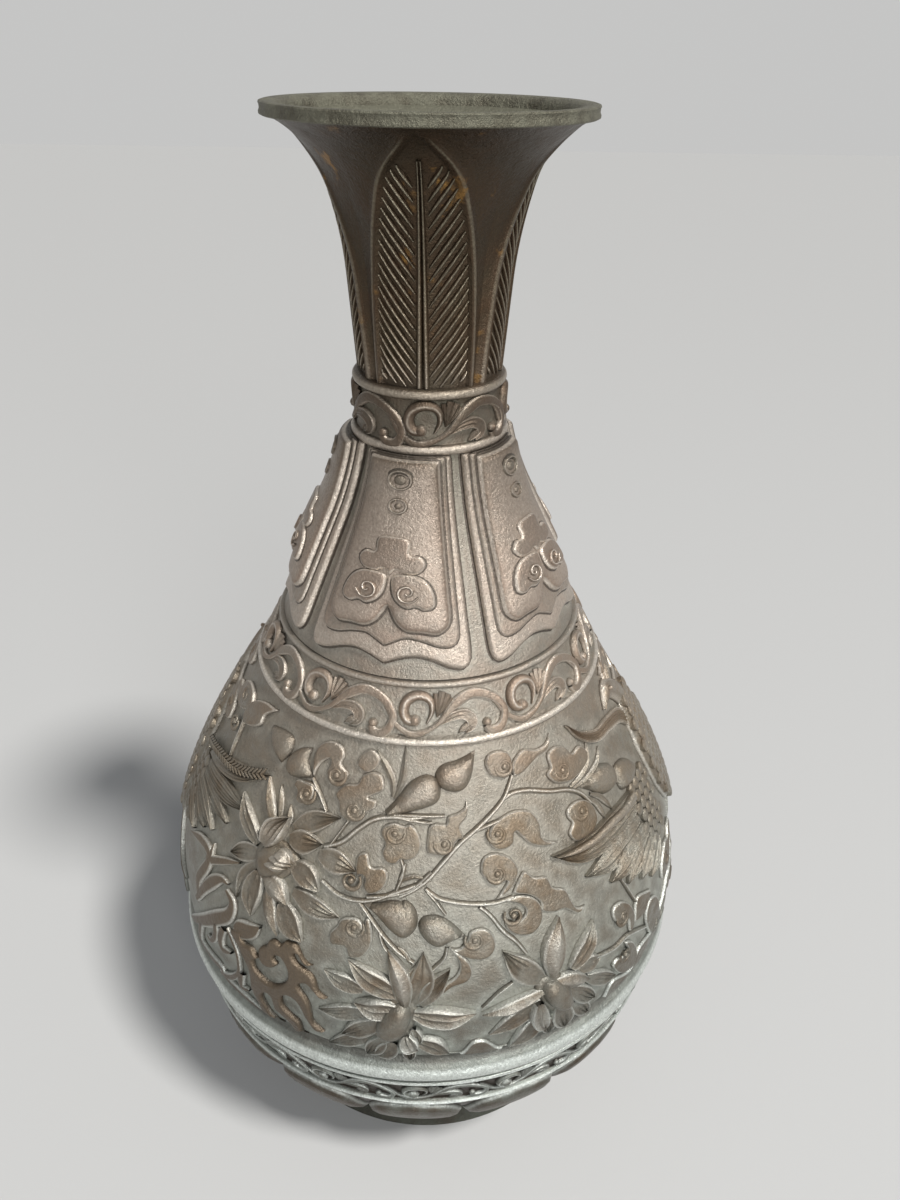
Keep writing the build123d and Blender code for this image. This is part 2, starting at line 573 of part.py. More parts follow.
def flower_cutters():
    """Lotus flowers: a heart and the petals round it, as one outline each."""
    flowers = []
    for azimuth, share, size_share, petals in FLOWERS:
        size = FLOWER_SIZE * size_share
        outline = Sketch() + Circle(FLOWER_HEART * size_share)
        for turn, length, way in petals:
            blade = lens(size * length, size * PETAL_WIDTH_SHARE, way * size * FLOWER_BEND_SHARE / 2)
            outline += Rot(0, 0, turn) * Pos(size * FLOWER_PETAL_START_SHARE / 2, 0) * blade
        flowers.append(prism(belly_seat(azimuth, share), outline, LONG_REACH))
    return flowers


def bird_cutters():
    """Phoenix: two wings of feathers, the body and the head."""
    azimuth, share, turn, size = BIRD_BODY_SHARES
    pieces = [prism(belly_seat(azimuth, share, turn), bud(BIRD_LENGTH * size, BIRD_WIDTH * size), LONG_REACH)]
    pieces.append(prism(belly_seat(*BIRD_HEAD_SHARES), bud(BIRD_HEAD_LENGTH, BIRD_HEAD_WIDTH)))
    for azimuth, share, feathers in WINGS_SHARES:
        outline = Sketch() + Circle(FEATHER_WIDTH)
        for turn, length in feathers:
            outline += Rot(0, 0, turn) * lens(WING_LENGTH * length, FEATHER_WIDTH, FEATHER_BEND / 2)
        pieces.append(prism(belly_seat(azimuth, share), outline, LONG_REACH))
    return pieces


def belly_relief():
    """Relief of the belly by kind, each clear of the kinds before it."""
    kinds = {
        "lotus_flowers": (flower_cutters(), LOTUS_RISE),
        "phoenixes": (bird_cutters(), PHOENIX_RISE),
        "flower_buds": ([prism(belly_seat(a, s, t), bud(BUD_LENGTH * length, BUD_WIDTH * width))
                         for a, s, t, length, width in BUDS_SHARES], BUD_RISE),
        "curl_leaves": ([prism(belly_seat(a, s, t), curl(CURL_SIZE * size, hand))
                         for a, s, t, size, hand in CURLS_SHARES], LEAF_RISE),
        "leaf_blades": ([prism(belly_seat(a, s, t), Pos(-BLADE_LENGTH * length / 2, 0)
                               * lens(BLADE_LENGTH * length, BLADE_WIDTH, way * BLADE_BEND))
                         for a, s, t, length, way in BLADES_SHARES], LEAF_RISE),
        "phoenix_plumes": ([belly_strip(points, PLUME_WIDTH) for points in PLUMES_SHARES], LEAF_RISE),
        "vine_stems": ([belly_strip(points, STEM_WIDTH) for points in STEMS_SHARES], STEM_RISE),
    }
    laid = []
    pieces = {}
    for name, (cutters, rise) in kinds.items():
        others = laid + [cutter.rotate(Axis.Z, 360 / BELLY_REPEATS) for cutter in laid]
        cutters = clear_of(cutters, others)
        laid += cutters
        pieces[name] = around(onto(layer(BELLY_CURVE, 0, rise), cutters), BELLY_REPEATS)
    return pieces


def lower_scroll():
    """Lower band's scroll: ringed eyes between low arches."""
    height = LOWER_FOOT + LOWER_BAND_HEIGHT * LOWER_FIELD_SHARE
    eye = prism(seat(LOWER_CURVE, 0, height), Circle(LOWER_EYE_RADIUS) - Circle(LOWER_PUPIL_RADIUS))
    plane = seat(LOWER_CURVE, 180 / LOWER_UNITS, height)
    half = LOWER_ARCH_RADIUS
    tall = half * LOWER_ARCH_SHARE
    arch = ribbon([(-half, -tall), (0, tall), (half, -tall)], SCROLL_WIDTH)
    drop = Pos(0, -half * LOWER_DROP_SHARE) * Circle(LOWER_DROP_RADIUS)
    arches = clear_of([prism(plane, arch), prism(plane, drop)], [eye])
    return around(onto(layer(LOWER_CURVE, 0, SCROLL_RISE), [eye] + arches), LOWER_UNITS, LOWER_START)


def foot_petals():
    """Bulging lotus petals round the taper above the foot."""
    middle = PETAL_FOOT + PETAL_HEIGHT / 2
    half = FOOT_PETAL_WIDTH / 2
    tall = FOOT_PETAL_LENGTH / 2
    waist = half * FOOT_PETAL_WAIST_SHARE
    rise = tall * FOOT_PETAL_BOSS_SHARE
    side = half * FOOT_PETAL_SHOULDER_SHARE
    across, up = half * FOOT_PETAL_CROWN_SHARES[0], tall * FOOT_PETAL_CROWN_SHARES[1]
    right = ThreePointArc((waist, -tall), (half, 0), (side, rise))
    left = ThreePointArc((-side, rise), (-half, 0), (-waist, -tall))
    crown = [ThreePointArc((side, rise), (across, up), (0, tall)),
             ThreePointArc((0, tall), (-across, up), (-side, rise))]
    outline = make_face([right.edge(), crown[0].edge(), crown[1].edge(), left.edge(),
                         Line((-waist, -tall), (waist, -tall)).edge()])
    petal = prism(seat(PETAL_CURVE, 0, middle), outline)
    return around(onto(layer(PETAL_CURVE, 0, PETAL_RISE), [petal]), FOOT_PETALS, PETAL_START)


os.makedirs("parts", exist_ok=True)
save("foot_ring", foot_ring())
save("base_plate", base_plate())
save("foot_section", layer(PETAL_CURVE, -WALL, 0))
save("foot_petals", foot_petals())
save("lower_band", lower_band())
save("lower_scroll", lower_scroll())
save("belly_ledge", ledge())
save("belly", layer(BELLY_CURVE, -WALL, 0))
for node, pieces in belly_relief().items():
    save(node, pieces)
save("shoulder_band", beaded(BAND_CURVE))
save("shoulder_scroll", scroll(BAND_CURVE, BAND_SCROLL_HEIGHT, BAND_UNITS, BAND_START))
save("shoulder", layer(SHOULDER_CURVE, -WALL, 0))
for node, pieces in zip(("shoulder_panels", "panel_borders", "panel_plaques"), panel_pieces()):
    save(node, pieces)
for node, pieces in zip(("panel_bosses", "panel_clouds"), panel_ornaments()):
    save(node, pieces)
save("neck_collar", beaded(COLLAR_CURVE))
save("collar_scroll", scroll(COLLAR_CURVE, COLLAR_SCROLL_HEIGHT, COLLAR_UNITS, COLLAR_START))
for node, pieces in zip(("neck", "leaf_midribs", "leaf_barbs"), neck_pieces()):
    save(node, pieces)
save("mouth_rim", mouth_rim())
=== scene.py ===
# %% [markdown]
# # A cast bronze vase with lotus and phoenix relief
# The vase is one turned bronze body with relief that was cut in the wax before casting. Here every
# section and every kind of ornament is a piece of its own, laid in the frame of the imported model.

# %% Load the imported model
import bpy
import numpy as np
from math import atan2, cos, hypot, pi, radians, sin, tau
from mathutils import Matrix, Vector, geometry, kdtree


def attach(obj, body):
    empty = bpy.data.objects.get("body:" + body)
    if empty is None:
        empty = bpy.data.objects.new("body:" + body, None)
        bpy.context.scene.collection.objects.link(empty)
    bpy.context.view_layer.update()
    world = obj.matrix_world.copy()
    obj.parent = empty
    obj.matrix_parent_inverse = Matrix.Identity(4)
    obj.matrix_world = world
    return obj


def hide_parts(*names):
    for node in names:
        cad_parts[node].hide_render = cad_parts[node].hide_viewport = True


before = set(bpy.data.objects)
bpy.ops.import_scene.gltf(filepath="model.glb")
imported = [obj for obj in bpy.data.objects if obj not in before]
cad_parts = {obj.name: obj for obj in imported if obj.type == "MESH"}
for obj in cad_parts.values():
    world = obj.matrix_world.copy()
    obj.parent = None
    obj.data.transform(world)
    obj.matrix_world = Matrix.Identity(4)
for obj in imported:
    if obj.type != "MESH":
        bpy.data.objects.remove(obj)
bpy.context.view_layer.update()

MM = 0.001

# %% [markdown]
# The outline of the vase is a chain of sections. Each has a straight stretch and then arcs that run
# on smoothly, so that it is drawn here from a few heights, radii and shares, as a turner would.

# %% Sections: height and radius at the foot and the top, then the bend, in millimetres
JOINTS = {
    "foot": (0.0, 56.5, 13.5, 58.5, ((1, 1),), False),
    "petals": (13.5, 58.5, 42.5, 74.2, ((0.48, 0.56), (1, 1)), False),
    "lower": (42.5, 74.2, 57.2, 77.4, ((1, 1),), False),
    "belly": (69.0, 77.6, 150.0, 48.0, ((0.285, 0.445), (0.555, 0.808), (1, 1)), True),
    "band": (150.0, 48.0, 164.8, 40.6, ((1, 1),), False),
    "shoulder": (164.8, 40.6, 215.3, 18.5, ((0.60, 0.685), (1, 1)), False),
    "collar": (215.3, 18.5, 231.3, 17.8, ((1, 1),), False),
    "neck": (231.3, 17.8, 287.3, 35.6, ((0.39, 0.10), (0.77, 0.345), (1, 1)), False),
}
WALL = 3.4
ARC_STEPS = 40


def bow(low, low_radius, top, top_radius, shares, from_top):
    """Height and radius along a section: a straight stretch, then tangent arcs."""
    start, end = ((low, low_radius), (top, top_radius))
    if from_top:
        start, end = end, start
    knots = [(start[0] + (end[0] - start[0]) * z, start[1] + (end[1] - start[1]) * r) for z, r in shares]
    line = [(start[0] + (knots[0][0] - start[0]) * i / ARC_STEPS, start[1] + (knots[0][1] - start[1]) * i / ARC_STEPS)
            for i in range(ARC_STEPS + 1)]
    lean = atan2(knots[0][1] - start[1], knots[0][0] - start[0])
    for a, b in zip(knots, knots[1:]):
        chord = hypot(b[0] - a[0], b[1] - a[1])
        swing = atan2(b[1] - a[1], b[0] - a[0]) - lean
        for i in range(1, ARC_STEPS + 1):
            part = i / ARC_STEPS
            reach = chord * sin(swing * part) / sin(swing)
            line.append((a[0] + reach * cos(lean + swing * part), a[1] + reach * sin(lean + swing * part)))
        lean += 2 * swing
    return np.array(sorted(line))


CURVES = {}
for name, joint in JOINTS.items():
    line = bow(*joint)
    along = np.concatenate(([0], np.cumsum(np.hypot(np.diff(line[:, 0]), np.diff(line[:, 1])))))
    tilt = np.arctan2(-np.gradient(line[:, 1], along), np.gradient(line[:, 0], along))
    CURVES[name] = (line[:, 0], line[:, 1], along, tilt)
print("sections", {name: len(curve[0]) for name, curve in CURVES.items()})

# %% [markdown]
# The camera comes early, because the ornament is placed by where it is seen in the photograph: a
# point of the picture is followed along its line of sight until it meets the wall of the vase.

# %% Camera at the photograph's place
PICTURE = (900, 1200)             # pixels
LENS = 945.0                      # focal length in pixels of the picture
SENSOR = 36.0                     # its height in millimetres
PLACE = np.array((0.0, -231.7, 301.96))
REACH = (120, 420)                # nearest and farthest place along a line of sight
PITCH, ROLL, YAW = radians(30.811), radians(0.942), radians(1.493)
ahead = np.array((sin(YAW) * cos(PITCH), cos(YAW) * cos(PITCH), -sin(PITCH)))
level = np.array((cos(YAW), -sin(YAW), 0.0))
upward = np.cross(level, ahead)
right_hand = cos(ROLL) * level + sin(ROLL) * upward
overhead = -sin(ROLL) * level + cos(ROLL) * upward

bpy.ops.object.camera_add(location=PLACE * MM)
camera = bpy.context.object
camera.data.sensor_fit = "VERTICAL"
camera.data.sensor_height = SENSOR
camera.data.lens = LENS / PICTURE[1] * SENSOR
camera.data.clip_start = 0.01
turn = Matrix((right_hand, overhead, -ahead)).transposed().to_4x4()
turn.translation = Vector(PLACE * MM)
camera.matrix_world = turn
bpy.context.scene.camera = camera


def radius_at(section, distance):
    return np.interp(distance, CURVES[section][2], CURVES[section][1])


def seen(section, points, corner, zoom):
    """Azimuth and distance up the section of points read off an enlarged crop of the photograph."""
    points = np.array(points, float)
    px = corner[0] + points[:, 0] / zoom
    py = corner[1] + points[:, 1] / zoom
    right, high = (px - PICTURE[0] / 2) / LENS, (PICTURE[1] / 2 - py) / LENS
    rays = ahead + np.outer(right, right_hand) + np.outer(high, overhead)
    depth = np.linspace(*REACH, 3001)
    heights, radii, along = CURVES[section][:3]
    x, y, z = (PLACE[k] + rays[:, k:k + 1] * depth for k in range(3))
    beyond = np.hypot(x, y) - np.interp(z, heights, radii)
    inside = beyond < 0
    hit = np.where(inside.any(1), inside.argmax(1), beyond.argmin(1))
    rows = np.arange(len(px))
    x, y, z = x[rows, hit], y[rows, hit], z[rows, hit]
    return np.stack((np.arctan2(x, -y), np.interp(z, heights, along)), -1)


def up(section, points):
    """The same for points given as azimuth in degrees and height in millimetres."""
    points = np.array(points, float)
    return np.stack((np.radians(points[:, 0]), np.interp(points[:, 1], CURVES[section][0], CURVES[section][2])), -1)


def placed(section, azimuth, height, points):
    """Points in millimetres across and up from a place on a section."""
    middle = np.interp(height, CURVES[section][0], CURVES[section][2])
    points = np.array(points, float)
    away = middle + points[:, 1]
    return np.stack((radians(azimuth) + points[:, 0] / radius_at(section, away), away), -1)


def surface(section, azimuth, distance, rise):
    """Places on a section, in metres, with their rise along its normal in millimetres."""
    heights, radii, along, tilt = CURVES[section]
    height = np.interp(distance, along, heights)
    lean = np.interp(distance, along, tilt)
    out = np.interp(distance, along, radii) + rise * np.cos(lean)
    return np.stack((out * np.sin(azimuth), -out * np.cos(azimuth), height + rise * np.sin(lean)), -1) * MM


print("camera", camera.name, "at", PLACE * MM)

# %% [markdown]
# A smooth line through a few points is needed for every vine, petal and leaf.

# %% Smooth lines
def bend(a, b, c, d, t):
    """Smooth step from b to c, with a before and d after them."""
    return 0.5 * (2 * b + (c - a) * t + (2 * a - 5 * b + 4 * c - d) * t * t + (3 * b - 3 * c + d - a) * t ** 3)


def smooth(points, count, closed=False):
    """Points at even steps along a smooth line through the given ones."""
    points = np.array(points, float)
    if closed:
        ring = np.concatenate((points[-1:], points, points[:2]))
    else:
        ring = np.concatenate((2 * points[:1] - points[1:2], points, 2 * points[-1:] - points[-2:-1]))
    fours = zip(ring, ring[1:], ring[2:], ring[3:])
    fine = [bend(*four, t) for four in fours for t in np.linspace(0, 1, 24, endpoint=False)]
    if not closed:
        fine.append(points[-1])
    fine = np.array(fine)
    steps = np.concatenate(([0], np.cumsum(np.linalg.norm(np.diff(fine, axis=0), axis=1))))
    where = np.linspace(0, steps[-1], count, endpoint=not closed)
    return np.stack([np.interp(where, steps, fine[:, k]) for k in range(fine.shape[1])], -1)


def ease(values, t):
    """Values given at even steps, read smoothly at t from 0 to 1."""
    values = np.array(values, float)
    if len(values) == 2:
        return values[0] + (values[1] - values[0]) * t
    ring = np.concatenate((2 * values[:1] - values[1:2], values, 2 * values[-1:] - values[-2:-1]))
    place = np.clip(t * (len(values) - 1), 0, len(values) - 1 - 1e-6)
    i = place.astype(int)
    return bend(ring[i], ring[i + 1], ring[i + 2], ring[i + 3], place - i)


print("a smooth line of 5 points", smooth(((0, 0), (1, 1), (2, 0)), 5).round(2).tolist())


# %% [markdown]
# Vines, petals, feathers and buds are all strokes of the carver's tool: a strip along a line, with its
# own width and its own section. The strip is a grid made once, and each stroke is a copy that is laid
# along its line, with two columns of the grid folded under it so that it closes like a tube.

# %% The strip that every stroke starts from
def fresh(name):
    """The object that an operator has just made, named."""
    piece = bpy.context.object
    piece.name = piece.data.name = name
    return piece


def xyz(data):
    """Places of the points of a mesh."""
    flat = np.zeros(len(data.vertices) * 3)
    data.vertices.foreach_get("co", flat)
    return flat.reshape(-1, 3)


def write(data, **values):
    """Keeps values of the points of a mesh under their names."""
    for name, value in values.items():
        attribute = data.attributes.get(name) or data.attributes.new(name, "FLOAT", "POINT")
        attribute.data.foreach_set("value", np.ascontiguousarray(value, float))


def linked(name, data):
    piece = bpy.data.objects.new(name, data)
    bpy.context.collection.objects.link(piece)
    return piece


STRIPS = {}
FOLD = 3                          # columns of the grid that lie under the stroke


def strip(along, across):
    """Grid of a stroke, with the step along and the column of each of its points."""
    if (along, across) not in STRIPS:
        bpy.ops.object.select_all(action="DESELECT")
        bpy.ops.mesh.primitive_grid_add(x_subdivisions=along, y_subdivisions=across + FOLD, size=2)
        piece = fresh(f"strip_{along}_{across}")
        flat = xyz(piece.data)
        step = np.round((flat[:, 0] + 1) / 2 * along).astype(int)
        column = np.round((flat[:, 1] + 1) / 2 * (across + FOLD)).astype(int)
        STRIPS[along, across] = (piece.data.copy(), step, column)
        bpy.data.objects.remove(piece)
    return STRIPS[along, across]


def lipped(u):
    """Fall of a hollow petal at its very edge."""
    return 2.2 * np.clip(abs(u) - 0.86, 0, 1)


# height of a stroke at u from -1 to 1 across it and t from 0 to 1 along it
FORMS = {
    "cord": lambda u, t: np.sqrt(1 - 0.96 * u ** 2),
    "bud": lambda u, t: (1 - 0.97 * u ** 2) ** 0.6,
    "flat": lambda u, t: 0.82 + 0.18 * (1 - u ** 2) - 1.35 * np.clip(abs(u) - 0.8, 0, 1),
    "leaf": lambda u, t: 0.45 + 0.55 * (1 - abs(u)) ** 0.8,
    "petal": lambda u, t: 0.52 + 0.42 * u ** 2 + 0.22 * np.exp(-(u / 0.14) ** 2) - lipped(u),
    "veined": lambda u, t: 0.52 + 0.34 * u ** 2 + 0.24 * t * np.cos(4 * pi * u) - lipped(u),
    "ribbed": lambda u, t: 0.66 + 0.16 * np.cos(6 * pi * u) + 0.18 * (1 - u ** 2),
}
PIECES = {}


def keep(kind, data):
    PIECES.setdefault(kind, []).append(linked(kind, data))


def stroke(kind, section, points, widths, rise, form="cord", heights=(0.6, 1, 1, 0.6), base=0.0,
           along=18, across=6, sink=0.45, scale=2.5, wear_and_highlight=1.0, zero=0.0):
    """One closed stroke along points (azimuth and distance), widths in millimetres."""
    data, step, column = strip(along, across)
    points = np.array(points, float)
    spin = points[:, 0].mean()
    line = smooth(np.stack(((points[:, 0] - spin) * radius_at(section, points[:, 1]), points[:, 1]), -1), along + 1)
    lean = np.gradient(line, axis=0)
    lean /= np.linalg.norm(lean, axis=1)[:, None] + 1e-9
    t = np.linspace(0, 1, along + 1)
    half = np.maximum(ease(widths, t), 0.04) / 2
    tall = np.maximum(ease(heights, t), 0.02) * rise
    u = np.sin(pi * (np.minimum(column, across) / across - 0.5))
    u = np.where(column == across + 1, 1, np.where(column > across + 1, -1, u))
    under = (column > across) & (column < across + FOLD)
    shape = np.clip(FORMS[form](u, t[step]), 0.05, None)
    lift = np.where(under, -sink, base + tall[step] * shape)
    x = line[step, 0] - lean[step, 1] * half[step] * u
    y = line[step, 1] + lean[step, 0] * half[step] * u
    data = data.copy()
    data.vertices.foreach_set("co", surface(section, spin + x / radius_at(section, y), y, lift).ravel())
    # on a cord the rim value is 1 on its crest, so the pale wear there also paints a highlight along it
    rim = np.where(under, 0, 1 - abs(u)) if form == "cord" else abs(u)
    write(data, lift=np.clip((lift - zero) / scale, 0, 1.5), rim=rim * wear_and_highlight)
    keep(kind, data)


print("forms of a stroke", list(FORMS))

# %% [markdown]
# The flat lobed leaves and the panels are plaques instead: an outline that is filled, with its edge
# rounded off. The filling follows the curve of the wall, so it needs points inside the outline too.

# %% Plaques
FULL_SHADE_ZERO = 9.0                # a zero above every stroke, so that it takes the full painted shade


def inward(points, outline):
    """Distance of points to a closed outline."""
    span = np.roll(outline, -1, axis=0) - outline
    part = np.clip(((points[:, None] - outline) * span).sum(-1) / ((span ** 2).sum(-1) + 1e-12), 0, 1)
    return np.linalg.norm(points[:, None] - (outline + part[..., None] * span), axis=-1).min(1)


def within(points, outline):
    """True for points inside a closed outline."""
    x, y = points[:, 0], points[:, 1]
    inside = np.zeros(len(points), bool)
    for (ax, ay), (bx, by) in zip(outline, np.roll(outline, -1, axis=0)):
        inside ^= ((ay > y) != (by > y)) & (x < (bx - ax) * (y - ay) / ((by - ay) or 1e-12) + ax)
    return inside


def outlined(points, corners=(), step=0.5):
    """Closed outline through points, smooth but for the corners given by their numbers."""
    def length(line):
        return np.linalg.norm(np.diff(line, axis=0), axis=1).sum()

    points = np.array(points, float)
    if not corners:
        return smooth(points, max(12, int(length(np.concatenate((points, points[:1]))) / step)), closed=True)
    order = sorted(int(corner) for corner in corners)
    line = []
    for a, b in zip(order, order[1:] + order[:1]):
        span = list(range(a, b + 1)) if b > a else list(range(a, len(points))) + list(range(0, b + 1))
        line.append(smooth(points[span], max(3, int(length(points[span]) / step) + 1))[:-1])
    return np.concatenate(line)


def plaque(kind, section, points, rise, corners=(), edge=0.9, base=0.0, step=0.5, grid=1.4, sink=0.45,
           crown=0.0, scale=2.5, start=0.3, wear_and_highlight=1.0, zero=0.0, line=None):
    """A filled outline with a rounded edge; crown raises its middle, line draws a low cord round it, painted dark as
    shade at its foot.
    """
    points = np.array(points, float)
    spin = points[:, 0].mean()
    flat = np.stack(((points[:, 0] - spin) * radius_at(section, points[:, 1]), points[:, 1]), -1)
    outline = outlined(flat, corners, step)
    normal = (np.roll(outline, -1, axis=0) - np.roll(outline, 1, axis=0))[:, ::-1] * (-1, 1)
    normal /= np.linalg.norm(normal, axis=1)[:, None] + 1e-9
    if not within(outline + normal * 0.05, outline).mean() > 0.5:
        normal = -normal
    # the line is a low cord round the outline that takes the full painted shade, a dark line standing in for the shade
    # at the plaque's foot
    if line:
        shade_line_base, width = line
        ring = np.concatenate((outline[::2], outline[:1]))
        ring = np.stack((spin + ring[:, 0] / radius_at(section, ring[:, 1]), ring[:, 1]), -1)
        stroke(kind, section, ring, (width,) * 3, 0.12, "cord", (1, 1, 1), base=shade_line_base, along=len(ring), across=3,
               sink=0.6 - shade_line_base, zero=FULL_SHADE_ZERO, wear_and_highlight=0.0)
    inner = [outline]
    for depth in (edge * 0.3, edge * 0.75, edge * 1.25):
        ring = outline + normal * depth
        inner.append(ring[within(ring, outline) & (inward(ring, outline) > depth * 0.9)])
    low, high = outline.min(0), outline.max(0)
    field = np.stack(np.meshgrid(*(np.arange(low[k], high[k], grid) for k in (0, 1))), -1).reshape(-1, 2)
    for clear in (within, lambda spots, ring: inward(spots, ring) > edge * 1.25 + grid * 0.4):
        if len(field):
            field = field[clear(field, outline)]
    chain = [(i, (i + 1) % len(outline)) for i in range(len(outline))]
    cloud = [Vector(p) for p in np.concatenate(inner + [field])]
    flat, _, faces = geometry.delaunay_2d_cdt(cloud, chain, [], 1, 1e-5)[:3]
    flat = np.array([tuple(p) for p in flat])
    deep = inward(flat, outline)
    shape = np.sqrt(1 - (1 - np.clip(deep / edge, 0, 1)) ** 2)
    lift = base + rise * (start + (1 - start) * shape) + crown * (1 - np.exp(-deep / 2.0))
    rim = wear_and_highlight * (1 - np.clip(deep / (min(edge, 1.2) * 1.5), 0, 1))
    border = np.nonzero(deep < 1e-4)[0]
    below = {i: len(flat) + rank for rank, i in enumerate(border)}
    tris = [list(face) for face in faces]
    sides = {(a, b): True for face in tris for a, b in zip(face, face[1:] + face[:1])}
    skirt = [[b, a, below[a], below[b]] for a, b in sides if (b, a) not in sides and a in below and b in below]
    flat = np.concatenate((flat, flat[border]))
    lift = np.concatenate((lift, np.full(len(border), -sink)))
    angle = spin + flat[:, 0] / radius_at(section, flat[:, 1])
    data = bpy.data.meshes.new(kind)
    data.from_pydata(surface(section, angle, flat[:, 1], lift).tolist(), [], tris + skirt)
    write(data, lift=np.clip((lift - zero) / scale, 0, 1.5), rim=np.concatenate((rim, np.full(len(border), wear_and_highlight))))
    keep(kind, data)


def circle(size, count, start=0.0, stop=tau):
    return [(size * cos(a), size * sin(a)) for a in np.linspace(start, stop, count)]


def bead(kind, section, point, size, rise, base=0.0, scale=2.5, wear_and_highlight=0.5, zero=0.0):
    """A small round boss."""
    ring = [(point[0] + x / radius_at(section, point[1]), point[1] + y) for x, y in circle(size, 9)[:-1]]
    plaque(kind, section, ring, rise, edge=size, base=base, step=size * 0.5, grid=size * 0.6, scale=scale,
           wear_and_highlight=wear_and_highlight, zero=zero)


print("strokes and plaques ready")

# %% [markdown]
# The walls are turned. The outline of a section and of its inside is drawn as a thin closed loop and
# spun about the axis, as on a lathe. What isn't round, such as the sunk leaves of the neck, is then
# pressed into the finished wall.

# %% Turned walls
WALL_WELD, RELIEF_WELD = 0.000002, 0.000001      # metres within which doubled points are joined


def only(piece):
    """Makes one piece the selected and active one."""
    bpy.ops.object.select_all(action="DESELECT")
    piece.select_set(True)
    bpy.context.view_layer.objects.active = piece


def welded(reach):
    """Joins the doubled points of the mesh in edit mode and turns its faces outwards."""
    bpy.ops.mesh.select_all(action="SELECT")
    bpy.ops.mesh.remove_doubles(threshold=reach)
    bpy.ops.mesh.normals_make_consistent(inside=False)
    bpy.ops.object.mode_set(mode="OBJECT")


def turned(name, loop, steps=256):
    """Wall spun from a closed loop of (radius, height) points in millimetres."""
    data = bpy.data.meshes.new(name)
    loop = np.array(loop, float)
    points = np.stack((np.zeros(len(loop)), -loop[:, 0], loop[:, 1]), -1) * MM
    data.from_pydata(points.tolist(), [(i, (i + 1) % len(loop)) for i in range(len(loop))], [])
    piece = linked(name, data)
    only(piece)
    bpy.ops.object.mode_set(mode="EDIT")
    bpy.ops.mesh.select_all(action="SELECT")
    bpy.ops.mesh.spin(steps=steps, angle=tau, center=(0, 0, 0), axis=(0, 0, 1))
    welded(WALL_WELD)
    none = np.zeros(len(piece.data.vertices))
    write(piece.data, lift=none, rim=none, hollow=none)
    return piece


def outer(section, step=0.8, start=0.0, stop=1.0):
    """Outline of a section from the foot up, as (radius, height)."""
    heights, radii = CURVES[section][:2]
    low, high = heights[0], heights[-1]
    count = max(2, int((high - low) * (stop - start) / step))
    z = np.linspace(low + (high - low) * start, low + (high - low) * stop, count)
    return [(r, h) for r, h in zip(np.interp(z, heights, radii), z)]


def inner(section, count=10):
    """The same on the inside, from the top down."""
    heights, radii = CURVES[section][:2]
    z = np.linspace(heights[-1], heights[0], count)
    return [(r - WALL, h) for r, h in zip(np.interp(z, heights, radii), z)]


def roll(radius, height, size, start, stop, count=7):
    """Round bead in the outline, from one angle to another."""
    return [(radius + x, height + y) for x, y in circle(size, count, radians(start), radians(stop))]


belly_wall = turned("belly_wall", outer("belly", 0.9) + inner("belly"), 384)
shoulder_wall = turned("shoulder_wall", outer("shoulder") + inner("shoulder"))
foot_wall = turned("foot_section_wall", outer("petals", 1.0) + inner("petals"))
band_wall = turned("shoulder_band_wall", roll(48.1, 151.0, 0.95, -90, 100) + outer("band", 1.0, 0.16, 0.86)
                   + roll(41.2, 163.7, 0.9, -65, 120) + inner("band", 4))
collar_wall = turned("collar_wall", roll(18.75, 216.6, 1.3, -80, 100) + outer("collar", 1.2, 0.18, 0.82)
                     + roll(18.05, 230.0, 1.25, -90, 80) + [(17.8, 231.3), (14.4, 231.3), (15.0, 215.3)])
lower_wall = turned("lower_band_wall", [(74.2, 42.5), (75.4, 42.7), (75.8, 43.4), (75.4, 44.1), (74.5, 44.5)]
                    + [(74.5 + 2.3 * i / 9, 45.0 + 9.9 * i / 9) for i in range(10)]
                    + [(77.0, 55.2), (77.9, 55.5), (78.3, 56.1), (78.1, 56.8), (77.4, 57.2)]
                    + [(74.0, 57.2), (70.8, 42.5)])
ledge_wall = turned("ledge_wall", (
    (77.4, 57.2), (77.0, 57.8), (77.3, 58.3), (78.4, 58.7), (79.0, 59.4), (79.3, 60.5), (79.2, 61.8), (78.8, 63.0),
    (78.0, 64.1), (77.1, 65.0), (76.5, 65.9), (76.4, 66.8), (76.7, 67.8), (77.1, 68.5), (77.6, 69.0), (73.6, 69.0),
    (73.6, 57.2)))


def mark_beads(wall, heights, radii, tall):
    """Marks what stands beyond a plain line of radii as raised and worn, so that its crest takes the pale wear and a
    painted highlight.
    """
    places = xyz(wall.data) / MM
    beyond = np.hypot(places[:, 0], places[:, 1]) - np.interp(places[:, 2], heights, radii)
    write(wall.data, lift=np.clip(beyond / tall, 0, 1), rim=np.clip(beyond / tall, 0, 1))


mark_beads(ledge_wall, (57.2, 69.0), (77.0, 77.4), 2.0)
mark_beads(lower_wall, (42.5, 57.2), (74.3, 77.3), 1.1)
mark_beads(band_wall, *CURVES["band"][:2], 1.5)
mark_beads(collar_wall, *CURVES["collar"][:2], 1.5)
print("turned walls done")

# %% [markdown]
# The neck carries four sunk leaves with smooth hollows between them. The columns of the turned neck
# are drawn to the leaf's outline, so that its edge stays crisp all the way up.

# %% Neck with its sunk leaves
LEAF_FOOT, LEAF_TIP = 231.3, 286.2
LEAF_AZIMUTH = -5.0
LEAVES = 4
INSIDE = 0.5                      # share of the columns that lie inside a leaf
LEAF_DEPTH, LIP_RISE, FLUTE_DEPTH = 0.85, 0.5, 1.3


def leaf_half(z):
    """Half width of a leaf field in millimetres."""
    t = np.clip((z - LEAF_FOOT) / (LEAF_TIP - LEAF_FOOT), 0, 1)
    return ease([11.4, 11.6, 11.6, 11.4, 10.8, 9.6, 7.2, 0.25], t)


